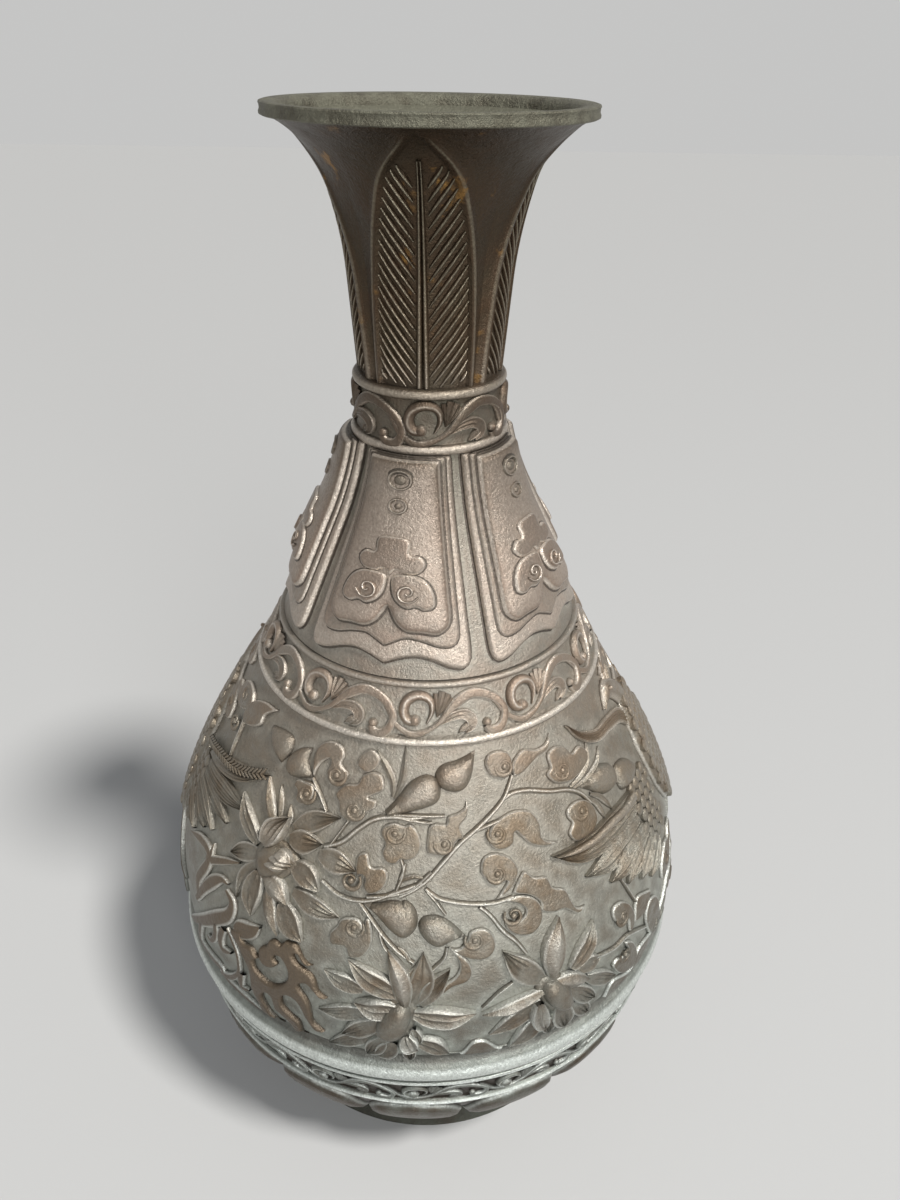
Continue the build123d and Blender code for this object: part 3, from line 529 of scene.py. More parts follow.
neck_wall = turned("neck_wall", outer("neck", 0.7) + inner("neck", 14), 288)
places = xyz(neck_wall.data) / MM
radius, z = np.hypot(places[:, 0], places[:, 1]), places[:, 2]
azimuth = np.arctan2(places[:, 0], -places[:, 1])
plain_radius = np.interp(z, *CURVES["neck"][:2])
outside = radius > plain_radius - WALL / 2
quarter = tau / LEAVES
turn_in = (azimuth - radians(LEAF_AZIMUTH) + quarter / 2) % quarter - quarter / 2
share = turn_in / (quarter / 2)
half = leaf_half(z) / plain_radius / (quarter / 2)
column = abs(share)
warped = np.where(column < INSIDE, column / INSIDE * half, half + (column - INSIDE) / (1 - INSIDE) * (1 - half))
warped = np.sign(share) * warped
across = (abs(warped) - half) * quarter / 2 * plain_radius
fade = np.clip((LEAF_TIP + 2.5 - z) / 4, 0, 1)
sunk = np.where(across < -0.05, -LEAF_DEPTH * np.clip(-across / 0.7, 0, 1), 0) * np.clip((LEAF_TIP - z) / 3, 0, 1)
lip = LIP_RISE * np.exp(-((across - 0.9) / 0.8) ** 2) * fade
gap = np.clip((1 - half) * quarter / 2 * plain_radius, 1, None)
flute = -FLUTE_DEPTH * np.where(across > 0, np.clip(across / gap, 0, 1) ** 0.8, 0) * np.clip((284 - z) / 16, 0, 1)
radius = np.where(outside, radius + sunk + lip + flute, radius)
azimuth = np.where(outside, radians(LEAF_AZIMUTH) + warped * quarter / 2
                   + np.round((azimuth - radians(LEAF_AZIMUTH)) / quarter) * quarter, azimuth)
places = np.stack((radius * np.sin(azimuth), -radius * np.cos(azimuth), z), -1) * MM
neck_wall.data.vertices.foreach_set("co", np.ascontiguousarray(places).ravel())
neck_wall.data.update()
dark_bore = 2.5 * np.clip((z - 262) / 12, 0, 1)
write(neck_wall.data, lift=np.where(outside, np.clip(lip * 1.7, 0, 1), 0.3),
      rim=np.where(outside, np.clip(lip * 1.9, 0, 1), 0),
      hollow=np.where(outside, np.where(across < 0, 0.5 * np.exp(across / 1.2), 0.0), dark_bore))
print("neck done")

# %% Mouth, and the node that each wall stands for
rim_wall = turned("mouth_wall", (
    (35.6, 287.3), (36.5, 287.2), (37.0, 287.45), (37.05, 287.9), (36.8, 288.5), (36.85, 289.2), (37.0, 289.55),
    (36.9, 289.85), (36.4, 290.0), (35.2, 289.95), (34.0, 289.8), (33.2, 289.3), (32.6, 288.5), (32.2, 287.3)), 256)
WALLS = {"belly": belly_wall, "shoulder": shoulder_wall, "foot_section": foot_wall, "shoulder_band": band_wall,
         "neck_collar": collar_wall, "lower_band": lower_wall, "belly_ledge": ledge_wall, "neck": neck_wall,
         "mouth_rim": rim_wall}
for node, wall in WALLS.items():
    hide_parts(node)
    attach(wall, "root")
print("walls", list(WALLS))

# %% [markdown]
# The ornament of the belly is read off enlarged crops of the photograph. Each motif is one stroke or
# one outline, carved on the belly where it is seen. The points are kept as rows of text: rows end with
# a semicolon, the parts of a row are set off by bars, and a point is two numbers with a comma.

# %% The crops and the rows
CROPS = {"left": ((180, 700), 3.92), "right": ((400, 700), 3.92), "near": ((190, 930), 9.8)}


def view(crop, points):
    return seen("belly", points, *CROPS[crop])


def token(text):
    """A point such as 12,30, a number or a word."""
    if text[-1].isdigit() or text[-1] == ".":
        numbers = tuple(float(part) for part in text.split(","))
        return numbers if len(numbers) > 1 else numbers[0]
    return text


def rows(text):
    """The rows of a table, each a list of parts, each a list of points, numbers and words."""
    return [[[token(word) for word in part.split()] for part in row.split("|")] for row in text.split(";")]


def petal(crop, base, tip, width, bow_out, form, rise, lift):
    """A pointed petal from its base to its tip, bowed to one side by bow_out millimetres."""
    a, b = view(crop, (base, tip))
    near = radius_at("belly", (a[1] + b[1]) / 2)
    side = np.array((-(b[1] - a[1]), (b[0] - a[0]) * near))
    side = side / (np.linalg.norm(side) + 1e-9) * bow_out
    middle = (a + b) / 2 + (side[0] / near, side[1])
    stroke("lotus_flowers", "belly", (a, middle, b), [width * share for share in (0.5, 1.0, 1.2, 1.08, 0.62, 0.02)],
           1.3 * rise, form, (0.6, 0.9, 1.0, 1.1, 0.85, 0.4), 1.5 * lift, along=16, across=12, wear_and_highlight=0.75)


print("crops", list(CROPS))

# %% Lotus flowers: crop, base, tip, width, bow, form, rise, lift of each petal
PETALS = """
left 318,560 262,358 4 .6 petal 1.5 .2; left 378,500 362,298 2.6 .3 leaf 1.3 .2;
left 395,470 404,330 1.6 -.4 leaf .9 0; left 420,500 440,408 1.8 -.6 leaf 1 0;
left 455,500 634,460 4.6 1 veined 1.3 .1; left 440,540 566,562 5.2 0 veined 1.5 .3;
left 550,600 692,668 5.2 .3 veined 1.2 .1; left 450,640 550,748 5.4 .9 petal 1.5 .2;
left 450,745 628,850 4.6 -.4 veined 1.2 .1; left 350,680 432,796 4.6 .6 leaf 1.8 .6;
left 410,790 484,944 6.2 -.6 petal 1.4 .2; left 356,730 388,918 3.6 -.5 leaf 1.6 .2;
left 320,670 286,842 5.6 -.7 petal 1.6 .2; left 318,640 226,772 5 -.8 veined 1 0;
left 330,600 205,592 4.4 -.6 veined 1.2 .1; left 350,560 447,458 5 .8 veined 2.2 .9;
left 885,1185 818,972 4.4 -1.1 leaf 2.1 .4; left 905,1180 955,985 5.4 -1.2 petal 1.6 .2;
left 860,1145 664,1008 5.2 .7 petal 1.6 .3; left 720,1130 568,1050 4.2 .3 petal 1.2 .1;
left 860,1195 690,1168 5 .6 petal 1.9 .6; left 740,1215 546,1200 4.2 .2 veined 1.2 .1;
left 790,1250 640,1292 4.8 -.3 veined 1.5 .3; left 775,1300 588,1338 4.4 -.5 veined 1.2 .1;
left 800,1310 738,1376 4.4 0 veined 1.5 .3; left 840,1330 770,1442 5 .5 veined 1.5 .3;
right 55,1215 296,1212 5 -.9 petal 2 .4; right 80,1185 196,1047 4.2 .4 veined 1.5 .2;
right 50,1170 78,1020 3.6 .8 leaf 1.2 .1; right 65,1320 192,1372 4.4 1 petal 1.5 .3;
right 25,1290 75,1345 4.2 -.6 petal 2.2 .8; right 30,1320 42,1408 3 .2 veined 1.6 .5;
right 590,1068 612,842 5.6 .9 leaf 2.3 .4; right 665,1045 748,856 4.8 -.9 petal 1.7 .2;
right 555,1090 398,978 5.6 .5 veined 1.4 .2; right 556,1128 318,1221 3.6 .5 leaf 2 .3;
right 560,1168 346,1305 5 -.6 petal 1.2 .1; right 555,1210 418,1362 5.4 .8 petal 1.4 .2;
right 535,1170 556,1262 4.2 -1 petal 2.2 .8; right 560,1235 572,1330 3.4 .2 veined 1.4 .2;
right 615,1180 632,1284 5.4 0 veined 1.7 .4; right 670,1175 718,1254 4 .2 veined 1.5 .3;
right 592,1098 732,1078 4 .7 leaf 1.8 .4; right 660,1120 754,1152 4.4 0 veined 1.6 .3;
right 720,1080 836,1068 4 0 veined 1.4 .2; right 690,1050 782,1000 4.4 .3 petal 1.2 .1"""
for (row,) in rows(PETALS):
    petal(*row)


def heart(crop, points, rise):
    """The domed middle of a flower on a flatter disc."""
    middle = np.mean(points, axis=0)
    wide = middle + 1.3 * (np.array(points) - middle)
    plaque("lotus_flowers", "belly", view(crop, wide), 1.4, edge=1.4, step=0.8, grid=1.2, wear_and_highlight=0.2)
    plaque("lotus_flowers", "belly", view(crop, points), rise, edge=3.6, step=0.6, grid=0.7, start=0.2, wear_and_highlight=0.2,
           scale=5.5)


HEARTS = """
left | 322,610 335,572 372,558 415,575 452,620 440,655 385,690 350,690 328,660 | 4.2;
left | 770,1275 790,1215 845,1172 895,1180 912,1225 885,1285 830,1304 | 4.6;
right | 545,1140 560,1095 605,1078 648,1100 664,1145 635,1185 585,1190 | 4.4"""
for (crop,), points, (rise,) in rows(HEARTS):
    heart(crop, points, rise)
SMALL_PETALS = """
left 400,590 462,632 3.2 .3 leaf 3.4 .4; left 380,600 452,645 3.2 .3 leaf 3.4 .4;
left 360,625 440,655 3.2 .3 leaf 3.4 .4; left 895,1275 890,1350 3.2 .3 veined 1.8 .4;
left 915,1275 925,1330 3.2 .3 veined 1.8 .4"""
for (row,) in rows(SMALL_PETALS):
    petal(*row)
print("lotus flowers drawn, pieces", len(PIECES["lotus_flowers"]))

# %% Buds: crop, outline, corners, rise
BUDS = """
left | 400,245 372,195 364,130 372,97 420,118 450,150 440,205 | 0 3 | 1.9;
left | 526,304 450,300 420,270 432,220 478,188 524,186 510,240 | 0 5 | 1.9;
left | 765,472 845,390 900,322 958,292 1005,305 1022,350 1005,400 930,430 850,450 | 0 | 2.7;
right | 292,196 225,232 165,252 138,290 150,335 205,358 252,345 280,290 | 0 | 2.5;
left | 700,775 765,792 832,782 890,795 928,840 925,890 880,930 830,905 770,840 | 0 | 2.5;
right | 5,790 38,790 66,830 66,885 30,925 -10,915 -22,860 | | 2.4;
right | 256,920 205,872 150,842 95,845 72,880 92,930 145,965 205,942 | 0 | 2.4;
right | 688,338 735,290 770,252 815,250 836,295 832,340 790,368 735,352 | 0 | 2.2;
right | 838,300 835,258 862,228 898,238 910,280 895,330 862,350 | | 2"""
for (crop,), points, corners, (rise,) in rows(BUDS):
    plaque("flower_buds", "belly", view(crop, points), rise, corners, edge=3.4, step=0.6, grid=0.8, start=0.15,
           wear_and_highlight=0.15)
print("buds drawn, pieces", len(PIECES["flower_buds"]))

# %% Curled leaves, flat with a soft edge: crop, outline, corners, eye
CURLS = """
left | 528,304 532,230 552,178 598,158 640,178 652,215 640,250 664,285 648,316 606,316 582,285 596,250 598,228 572,236
548,262 | 0 | 622,292; left | 532,332 500,318 470,308 455,330 468,352 462,385 482,408 512,400 532,372 | 0 | 506,366;
left | 768,420 772,392 740,378 800,350 798,300 765,278 722,292 700,325 655,328 616,362 628,400 632,445 668,474 712,470
735,440 | | 690,430;
left | 790,520 800,492 840,478 880,490 908,486 938,522 946,572 925,614 888,626 868,622 845,640 808,630 794,592 806,560
| | 845,520;
left | 700,690 692,660 702,604 738,598 752,650 800,655 818,690 795,738 742,756 722,726 728,696 715,680 | | 676,702;
left | 718,870 690,848 640,850 618,880 592,908 598,950 650,962 665,1000 712,1002 748,965 757,915 745,850 728,860
726,900 | | 688,884; right | 330,250 342,212 378,196 415,202 434,235 424,272 395,300 355,296 | | 402,258;
right | 570,212 602,180 640,184 664,208 692,178 722,200 722,245 690,292 655,318 602,322 570,292 582,262 | | 626,274;
right | 648,430 676,398 712,388 746,410 764,462 750,510 724,534 682,552 656,522 668,482 652,460 | | 700,432;
right | 105,588 108,520 118,490 150,480 180,484 186,455 222,440 250,420 258,392 266,420 258,462 234,494 248,536
222,548 205,580 160,606 120,602 | 8 | 172,560;
right | 345,530 355,495 400,452 450,430 505,434 540,478 548,530 572,548 618,552 565,570 508,562 468,530 446,512
438,560 395,584 355,572 | 8 | 376,520;
right | 372,782 400,738 418,705 392,712 345,705 314,672 322,618 368,596 425,612 458,655 450,705 425,742 | 0 | 376,676;
right | 438,752 458,705 482,668 520,690 568,690 592,728 640,738 664,780 686,808 722,800 690,832 640,814 600,826
552,822 545,788 505,762 | 0 9 |;
right | 400,782 460,762 515,768 548,802 550,862 515,908 458,916 414,890 410,858 440,866 478,848 488,818 462,796 | 0 |
440,838;
right | 195,968 232,968 262,935 272,905 312,890 352,902 372,942 362,985 322,1012 270,1008 228,992 | 0 | 290,934;
right | 192,965 228,985 270,1022 282,1062 262,1096 205,1118 158,1156 172,1112 215,1078 232,1042 222,1005 | 0 6 |;
right | 905,880 908,830 890,795 856,786 826,815 830,856 862,876 884,856 890,900 | | 862,846;
right | 908,868 912,800 926,762 972,738 960,790 945,830 | 0 3 |;
right | 960,800 974,772 994,764 1004,800 1002,850 990,895 972,912 956,880 953,840 | | 988,868;
right | 826,1042 858,1064 900,1035 918,985 905,942 874,944 886,978 862,998 838,1012 | | 872,990;
right | 1002,900 948,968 918,1050 850,1130 788,1162 826,1092 892,1048 938,950 | 0 4 |;
right | 440,298 434,252 456,210 482,190 524,192 562,170 580,128 572,190 532,222 502,256 472,286 | 0 6 |;
right | 186,1378 240,1372 282,1332 332,1324 382,1350 425,1378 330,1392 | 0 5 |;
left | 262,92 268,40 300,4 345,8 392,42 345,60 318,102 | 4 | 230,85;
left | 700,250 720,205 760,192 790,225 775,262 735,282 | |"""


def curl_groove(points, first, along):
    """The spiral line round the eye of a leaf; first is its width at the eye."""
    stroke("curl_leaves", "belly", points, (first, 0.9, 1.2, 0.5), 0.55, "cord", (0.6, 1, 1, 0.4), base=1.05,
           along=along, across=5, sink=-0.9, scale=2.8, wear_and_highlight=0.6)


for (crop,), points, corners, eye in rows(CURLS):
    plaque("curl_leaves", "belly", view(crop, points), 1.25, corners, edge=0.75)
    if eye:
        place = view(crop, eye)[0]
        bead("curl_leaves", "belly", place, 0.9, 0.8, base=1.0, scale=3.5)
        near = radius_at("belly", place[1])
        hand = 1 if crop == "left" else -1
        turns = zip(np.linspace(0.6, 6.9, 14), np.linspace(1.2, 2.6, 14))
        curl_groove([(place[0] + hand * r * cos(a) / near, place[1] + r * sin(a)) for a, r in turns], 0.4, 30)
print("curled leaves drawn, pieces", len(PIECES["curl_leaves"]))

# %% Vines and blades: crop, line, width
VINES = """
left | 572,572 640,552 700,505 762,466 830,456 905,462 985,452 | 1.5; left | 850,458 905,470 985,480 | 1;
right | -20,448 60,452 175,452 | 1.1; right | 40,462 90,478 125,478 | .9;
left | 526,304 548,352 566,400 578,436 | 1.2; left | 490,316 530,332 556,372 | 1;
left | 560,706 620,758 690,782 770,778 850,750 985,700 | 1.3; left | 735,770 830,762 905,740 985,672 | 1.2;
right | 0,768 60,738 112,698 170,632 232,562 292,508 352,448 402,386 424,330 436,292 | 1.4;
right | 400,388 440,362 500,352 580,356 650,350 702,364 742,400 | 1.3; right | 292,512 340,490 385,470 | 1.2;
right | 100,738 150,774 212,790 292,797 370,792 440,768 | 1.3; right | 310,808 352,842 402,902 452,942 492,988 | 1.3;
right | 104,746 142,790 178,838 | 1; left | 700,782 748,850 800,922 860,985 916,1026 | 1.2;
left | 780,890 800,960 842,1008 | 1; left | 883,640 872,690 850,742 | 1.1;
right | 742,1012 830,970 882,920 925,898 956,885 | 1.4; right | 185,965 172,1010 120,1062 92,1120 | 1.1;
right | 440,1100 385,1140 320,1200 | .7; left | 205,216 232,150 255,95 272,40 | 1;
right | 860,700 905,770 930,800 | .9; left | 665,470 610,545 585,575 | .8; right | 5,620 15,660 0,700 | 1"""
for (crop,), points, (width,) in rows(VINES):
    stroke("vine_stems", "belly", view(crop, points), [width * 0.9, width, width, width, width * 0.8], 1.15, "cord",
           (0.8, 1, 1, 1, 0.8), along=8 * len(points), across=6)
BLADES = """
left | 836,378 838,320 815,262 776,192 | 1.8; left | 842,384 872,320 884,250 886,168 | 1.6;
right | 662,342 702,300 728,240 722,160 | 1.9; right | 676,346 726,308 764,246 770,180 | 1.8;
right | 738,366 772,376 800,396 828,428 | 1.7; right | 728,384 760,400 784,432 802,468 | 1.7;
right | 100,700 60,690 20,700 -10,720 | 1.2; right | -8,965 20,990 48,1040 | 1.2"""
for (crop,), points, (width,) in rows(BLADES):
    stroke("leaf_blades", "belly", view(crop, points), [width * 0.5, width, width, 0.1], 1.2, "leaf", (0.6, 1, 1, 0.5),
           along=14, across=6)
print("flowers, buds, leaves and vines", {kind: len(made) for kind, made in PIECES.items()})

# %% [markdown]
# Each phoenix stands at the edge of the view with its wings spread. The wings and plumes are traced
# where they are seen. The body is out of sight and is drawn in degrees and millimetres of height.

# %% Phoenix, feathers: crop, line, widths, form, rise
FEATHERS = """
right | 905,388 835,480 768,548 690,596 588,610 | 3.6 4.2 4 3.2 .1 | ribbed | 2.2;
right | 925,470 860,560 800,632 722,690 | 2.6 3.6 3.8 .2 | ribbed | 1.6;
right | 945,500 900,580 862,652 818,712 | 2.6 3.6 3.8 .2 | ribbed | 1.8;
right | 960,520 932,590 908,650 886,718 | 2.6 3.6 3.8 .2 | ribbed | 1.6;
right | 980,530 964,590 950,645 936,700 | 2.8 3.8 4 .2 | ribbed | 1.8;
right | 1000,530 992,590 985,640 975,690 | 2.8 4 4 .2 | ribbed | 1.6;
left | 140,190 196,258 268,292 356,296 | 2.4 3.6 3.8 .2 | veined | 2;
left | 130,250 178,340 214,385 252,418 | 3 4.2 4.4 1.6 | ribbed | 1.8;
left | 112,270 142,360 170,430 192,482 | 3 4.2 4.2 .6 | ribbed | 1.6;
left | 98,280 112,370 124,440 136,508 | 3 4.4 4.4 .6 | ribbed | 1.8;
left | 84,290 88,370 92,440 104,496 | 3 4.6 4.6 .6 | ribbed | 1.6;
left | 72,300 66,370 62,440 64,500 | 3 4.8 4.8 .6 | ribbed | 1.8"""
for (crop,), points, widths, (form,), (rise,) in rows(FEATHERS):
    wide = 1.3 if crop == "left" else 1.75
    stroke("phoenixes", "belly", view(crop, points), [wide * width for width in widths], rise, form, (0.8, 1, 1, 0.7),
           along=20, across=22, wear_and_highlight=0.6)
print("feathers drawn, pieces", len(PIECES["phoenixes"]))

# %% Phoenix, plumes of the tail: crop, line, widths, form
PLUMES = """
right | 640,100 700,140 762,138 806,92 850,60 905,92 | .1 2.4 3 3.4 3.4 3 | ribbed;
left | 322,884 282,888 240,878 222,905 | .1 2.4 2.6 1 | flat;
left | 62,842 100,858 150,852 200,838 214,790 192,742 | 1 2.6 3.4 4 3.6 1 | flat;
left | 95,868 96,930 130,990 172,1040 190,1090 | 2 2.2 2.4 2.6 1.4 | flat;
left | 150,872 150,915 136,935 120,915 | 2 2.2 1.8 .6 | flat;
left | 212,985 180,968 170,930 180,890 | .6 2.2 2.6 2.2 | flat;
left | 192,1090 222,1142 262,1180 332,1220 | 2.4 2.4 2 .1 | flat;
left | 250,1060 252,1110 282,1130 | 2.4 2.2 .5 | flat; left | 90,770 84,700 120,640 148,560 | 3 3.4 3 .1 | flat;
left | 60,512 96,545 124,590 118,630 | .1 2 2.4 2 | flat; left | 135,625 190,630 245,636 | 2.2 1.8 .5 | flat;
left | 80,770 120,722 170,700 200,720 | 2 3 3.4 .5 | flat;
near | 350,450 430,440 500,400 505,300 480,180 430,60 390,-30 | 1.8 2 1.8 1.4 1.2 1.2 .8 | flat;
near | 470,-60 500,0 560,20 640,10 700,-40 | 2 3 3.2 2.6 .8 | flat"""
for (crop,), points, widths, (form,) in rows(PLUMES):
    stroke("phoenix_plumes", "belly", view(crop, points), [1.25 * width for width in widths], 1.3, form,
           (1, 1, 1, 1, 0.9), along=6 * len(points), across=16 if form == "ribbed" else 8)
FLAME = """
430,-20 540,0 530,60 560,115 620,155 655,205 690,262 640,280 655,345 700,410 760,470 820,510 880,520 940,500 975,450
978,380 950,310 910,250 870,233 842,245 848,285 875,312 855,342 810,350 760,330 722,292 700,250 700,180 715,145
775,130 792,95 825,80 860,92 905,135 935,105 965,90 1000,108 1035,110 1065,140 1085,180 1110,235 1150,300 1215,338
1150,328 1105,275 1080,228 1045,215 1030,235 1045,280 1075,320 1120,355 1165,388 1208,425 1238,475 1255,530 1280,595
1355,655 1290,645 1240,595 1205,555 1165,510 1125,500 1080,512 1085,550 1115,595 1155,650 1188,720 1205,800 1225,880
1330,978 1245,950 1190,890 1150,830 1120,770 1095,720 1060,670 1020,635 970,615 930,622 915,655 925,710 965,765
1025,822 1082,870 1112,930 1125,990 1170,1050 1315,1155 1235,1128 1150,1075 1095,1020 1055,950 1015,888 955,828
895,778 855,735 835,680 815,620 780,592 742,592 728,620 742,665 775,725 825,795 885,865 940,935 985,1005 1050,1090
985,1060 925,990 870,915 800,835 735,745 690,660 650,580 625,520 617,440 600,350 562,265 522,180 480,95"""
((flame,),) = rows(FLAME)
plaque("phoenix_plumes", "belly", view("near", flame), 1.5, (6, 7, 26, 33, 42, 56, 69, 87, 107), edge=0.8, step=0.6,
       grid=1.6, wear_and_highlight=0.35)
print("plumes drawn, pieces", len(PIECES["phoenix_plumes"]))


# %% Phoenix, barbs, body, head, crest and scales
def herringbone(quill, base):
    """Fine barbs on both sides of the quill of a long feather."""
    near = radius_at("belly", quill[:, 1].mean())
    spine = smooth(quill * (near, 1), 25)
    for (x, y), (dx, dy) in zip(spine[2:-1], np.diff(spine, axis=0)[1:]):
        dx, dy = np.array((dx, dy)) / np.hypot(dx, dy)
        for side in (-1, 1):
            tip = (x + 2.4 * dx - side * 1.5 * dy, y + 2.4 * dy + side * 1.5 * dx)
            stroke("phoenixes", "belly", ((x / near, y), (tip[0] / near, tip[1])), (0.45, 0.7, 0.3), 0.4, "cord",
                   (0.8, 1, 0.6), base=base, along=5, across=4, sink=0.2 - base, wear_and_highlight=0.5)


def scales(starts, count, pitch, size, rise, base):
    """Rows of scales from their first (degrees, height) on."""
    for azimuth, height in starts:
        for i in range(count):
            place = up("belly", ((azimuth + pitch * i, height),))[0]
            bead("phoenixes", "belly", place, size, rise, base=base, wear_and_highlight=0.0)


herringbone(view("left", ((137, 130), (174, 203), (235, 264), (290, 284), (352, 290))), 1.6)
leading_edge = view("right", ((893, 376), (862, 423), (807, 478), (744, 541), (666, 588), (596, 611)))
stroke("phoenixes", "belly", leading_edge, (2.8, 2.4, 2.2, 2.0, 1.6, 0.2), 1.1, "cord", (0.8, 1, 1, 1, 0.8), base=1.9,
       along=30, sink=-1.4, wear_and_highlight=0.5)
scales([(61 + 1.5 * (row % 2), 120.5 - 3.0 * row) for row in range(7)], 4, 3.0, 1.8, 0.8, 0.7)
body = ((84, 139), (79, 137), (75.5, 131), (74, 121), (75.5, 110), (80, 101), (86, 94), (93, 89), (98, 93), (99, 103),
        (98, 115), (95.5, 126), (91, 134))
plaque("phoenixes", "belly", up("belly", body), 1.9, edge=4.5, step=0.8, grid=1.6, crown=0.5)
neck_line = ((84, 132), (80.5, 138), (76, 142), (72, 143.5), (66, 141))
stroke("phoenixes", "belly", up("belly", neck_line), (9, 7.5, 6.5, 5, 0.3), 2.6, "bud", (0.9, 1, 1, 0.9, 0.5),
       along=20, across=8)
bead("phoenixes", "belly", up("belly", ((72.4, 143.6),))[0], 0.7, 1.0, base=2.2)
for lean, reach in ((0, 6.5), (5, 5.5), (10, 4.5)):
    crest = ((75 + lean * 0.4, 143), (78 + lean, 143 + reach * 0.7), (82 + lean, 142 + reach))
    stroke("phoenixes", "belly", up("belly", crest), (1.4, 1.6, 0.2), 1.4, "leaf", (1, 1, 0.6), along=10)
for row in range(14):
    height = 135 - 3.1 * row
    first = np.interp(height, (94, 101, 110, 121, 131, 139), (88, 82, 77.5, 76, 77.5, 82)) + 1.5 * (row % 2)
    last = np.interp(height, (93, 103, 115, 126, 134), (96, 97, 96, 93.5, 89))
    scales(((first, height),), len(np.arange(first, last, 3.0)), 3.0, 2.0, 0.8, 2.1)
scales([(98.5 + 1.4 * (row % 2), 118 - 3.0 * row) for row in range(7)], 3, 2.9, 1.9, 0.9, 0.7)
for plume in (((95, 92), (99, 84), (104, 80), (111, 82)), ((92, 92), (95, 82), (100, 75), (109, 74)),
              ((89, 94), (90, 84), (93, 76), (101, 71.5))):
    stroke("phoenix_plumes", "belly", up("belly", plume), (3.4, 4.4, 4.0, 0.2), 1.6, "ribbed", (1, 1, 1, 0.6),
           along=26, across=16)
print("belly ornament", {kind: len(made) for kind, made in PIECES.items()})

# %% [markdown]
# The bands repeat one unit of scroll. It is drawn once in millimetres beside the eye of its spiral and
# then copied round the vase.

# %% Scroll bands
def spiral(x, y, size, start, turns, inner_share=0.16):
    """Points of a spiral from its eye outwards."""
    t = np.linspace(0, 1, 14)
    reach = size * (inner_share + (1 - inner_share) * t)
    return [(x + r * cos(a), y + r * sin(a)) for a, r in zip(radians(start) + tau * turns * t, reach)]


RUNNING_STEM = "-9.1,3.6 -6.5,0 -4.6,-3.1 -.9,-5.3 2.8,-4.6 6.1,-2.4 8.7,.9 10.9,3 13.9,4.4 17.6,3.6 20.9,1.5 " \
               "22.9,-1.2 22.9,-3.8 21.6,-5.7 19.4,-5.7 18.1,-4.2"
HELD_SPIRAL = "3,-2.7 4.2,.1 4,2.7 2.4,4.2 0,4.3 -2.1,2.8 -2.7,.2 -1.8,-1.8 -.1,-2.2"
COMMA_LEAF = "6.3,-2.9 9.1,-1.1 12,-.6 14.1,-1.9 14.3,-4 12.8,-5.4"
NOTCH = "13.9,-3.2 12.6,-4 11,-5.3"


def scroll_unit(kind, section, azimuth, height, across, tall, rise, slim=1.0, bulb=1.45):
    """Running stem with its crest and hook, the spiral that it holds, a comma leaf and a fan."""
    def at(points):
        return placed(section, azimuth, height, [(x * across, y * tall) for x, y in points])

    def slimmed(*widths):
        return [slim * width for width in widths]

    def part(points, widths, high, form, heights, along, wear_and_highlight=0.8, across=8):
        if isinstance(points, str):
            points = rows(points)[0][0]
        stroke(kind, section, at(points), widths, rise * high, form, heights, along=along, across=across, wear_and_highlight=wear_and_highlight)

    part(RUNNING_STEM, slimmed(0.6, 1.1, 1.4, 1.7, 1.6, 1.2, 1.3, 1.9, 2.7, 2.7, 2.4, 2.1, 1.9, 2.2, 2.6, 1.6),
         1, "flat", (0.6, 0.9, 1, 1, 0.9, 1.1, 1.1), 84, 0.9)
    part(HELD_SPIRAL, slimmed(0.5, 1.1, 1.7, 2.3, 2.6, 2.7, 2.6, 2.6, 2.4), 1.15, "cord",
         (0.5, 0.9, 1.1, 1.2, 1.2, 1.1), 48)
    bead(kind, section, at(((0.1, -1.9),))[0], bulb * tall, 1.6 * rise, wear_and_highlight=0.8)
    bead(kind, section, at(((18.4, -3.6),))[0], 1.2 * tall, 1.35 * rise, wear_and_highlight=0.7)
    part(COMMA_LEAF, slimmed(0.3, 1.7, 2.5, 2.9, 2.5, 0.3), 1.1, "petal", (0.7, 1, 1.1, 1, 0.8), 30)
    part(NOTCH, (1.2, 1.6, 0.1), 0.9, "petal", (1, 1, 0.6), 8, across=6)
    for tip, width in (((4.9, 5.0), 1.2), ((6.6, 5.4), 1.7), ((8.2, 4.7), 1.5), ((9.3, 3.6), 1.2)):
        blade = ((5.5, -1.0), (5.5 * 0.45 + tip[0] * 0.55, -0.5 + tip[1] * 0.55), tip)
        part(blade, (0.3, 0.8 * width, width), 0.8, "leaf", (0.6, 1, 0.9), 10, 0.6, 6)


scroll_unit("shoulder_scroll", "band", -4.4, 157.4, 1.0, 1.0, 1.25)
scroll_unit("collar_scroll", "collar", -6.3, 223.3, 1.05, 0.96, 1.35)
scroll_unit("lower_scroll", "lower", -3, 50.0, 0.90, 0.76, 0.85, 0.62, 2.2)
print("scroll units drawn, pieces of one", len(PIECES["shoulder_scroll"]))

# %% Cloud leaves beside the phoenix: azimuth, height, turn and hand of each
CLOUD_LEAF = ((-7, -1), (-5.2, 2.4), (-1, 4.0), (3, 3.4), (5.6, 1.2), (8.6, 2.2), (12.4, 0.6), (8.4, -1.0), (5.6, -1.8),
              (2.8, -3.6), (-1, -4.0), (-4.8, -3.2))
for azimuth, height, turn, hand in ((68, 92, 20, 1), (73, 79, -15, 1), (64, 75, 60, -1), (83, 77.5, 12, 1),
                                    (97, 134, 150, 1), (106, 141, 200, -1), (88, 146, 170, 1)):
    c, s = cos(radians(turn)), sin(radians(turn))
    leaf, eye = ([(c * x - s * hand * y, s * x + c * hand * y) for x, y in points]
                 for points in (CLOUD_LEAF, spiral(-1.4, 0.1, 2.6, 40, 1.3)))
    plaque("curl_leaves", "belly", placed("belly", azimuth, height, leaf), 1.25, (6,), edge=0.75, step=0.6, grid=1.6)
    curl_groove(placed("belly", azimuth, height, eye), 0.6, 28)
print("cloud leaves drawn, leaf pieces", len(PIECES["curl_leaves"]))

# %% [markdown]
# The shoulder has five panels, each a stepped plate with a wavy foot that is cut to a cusp. All three
# steps are plaques with the same kind of outline, laid one on another.

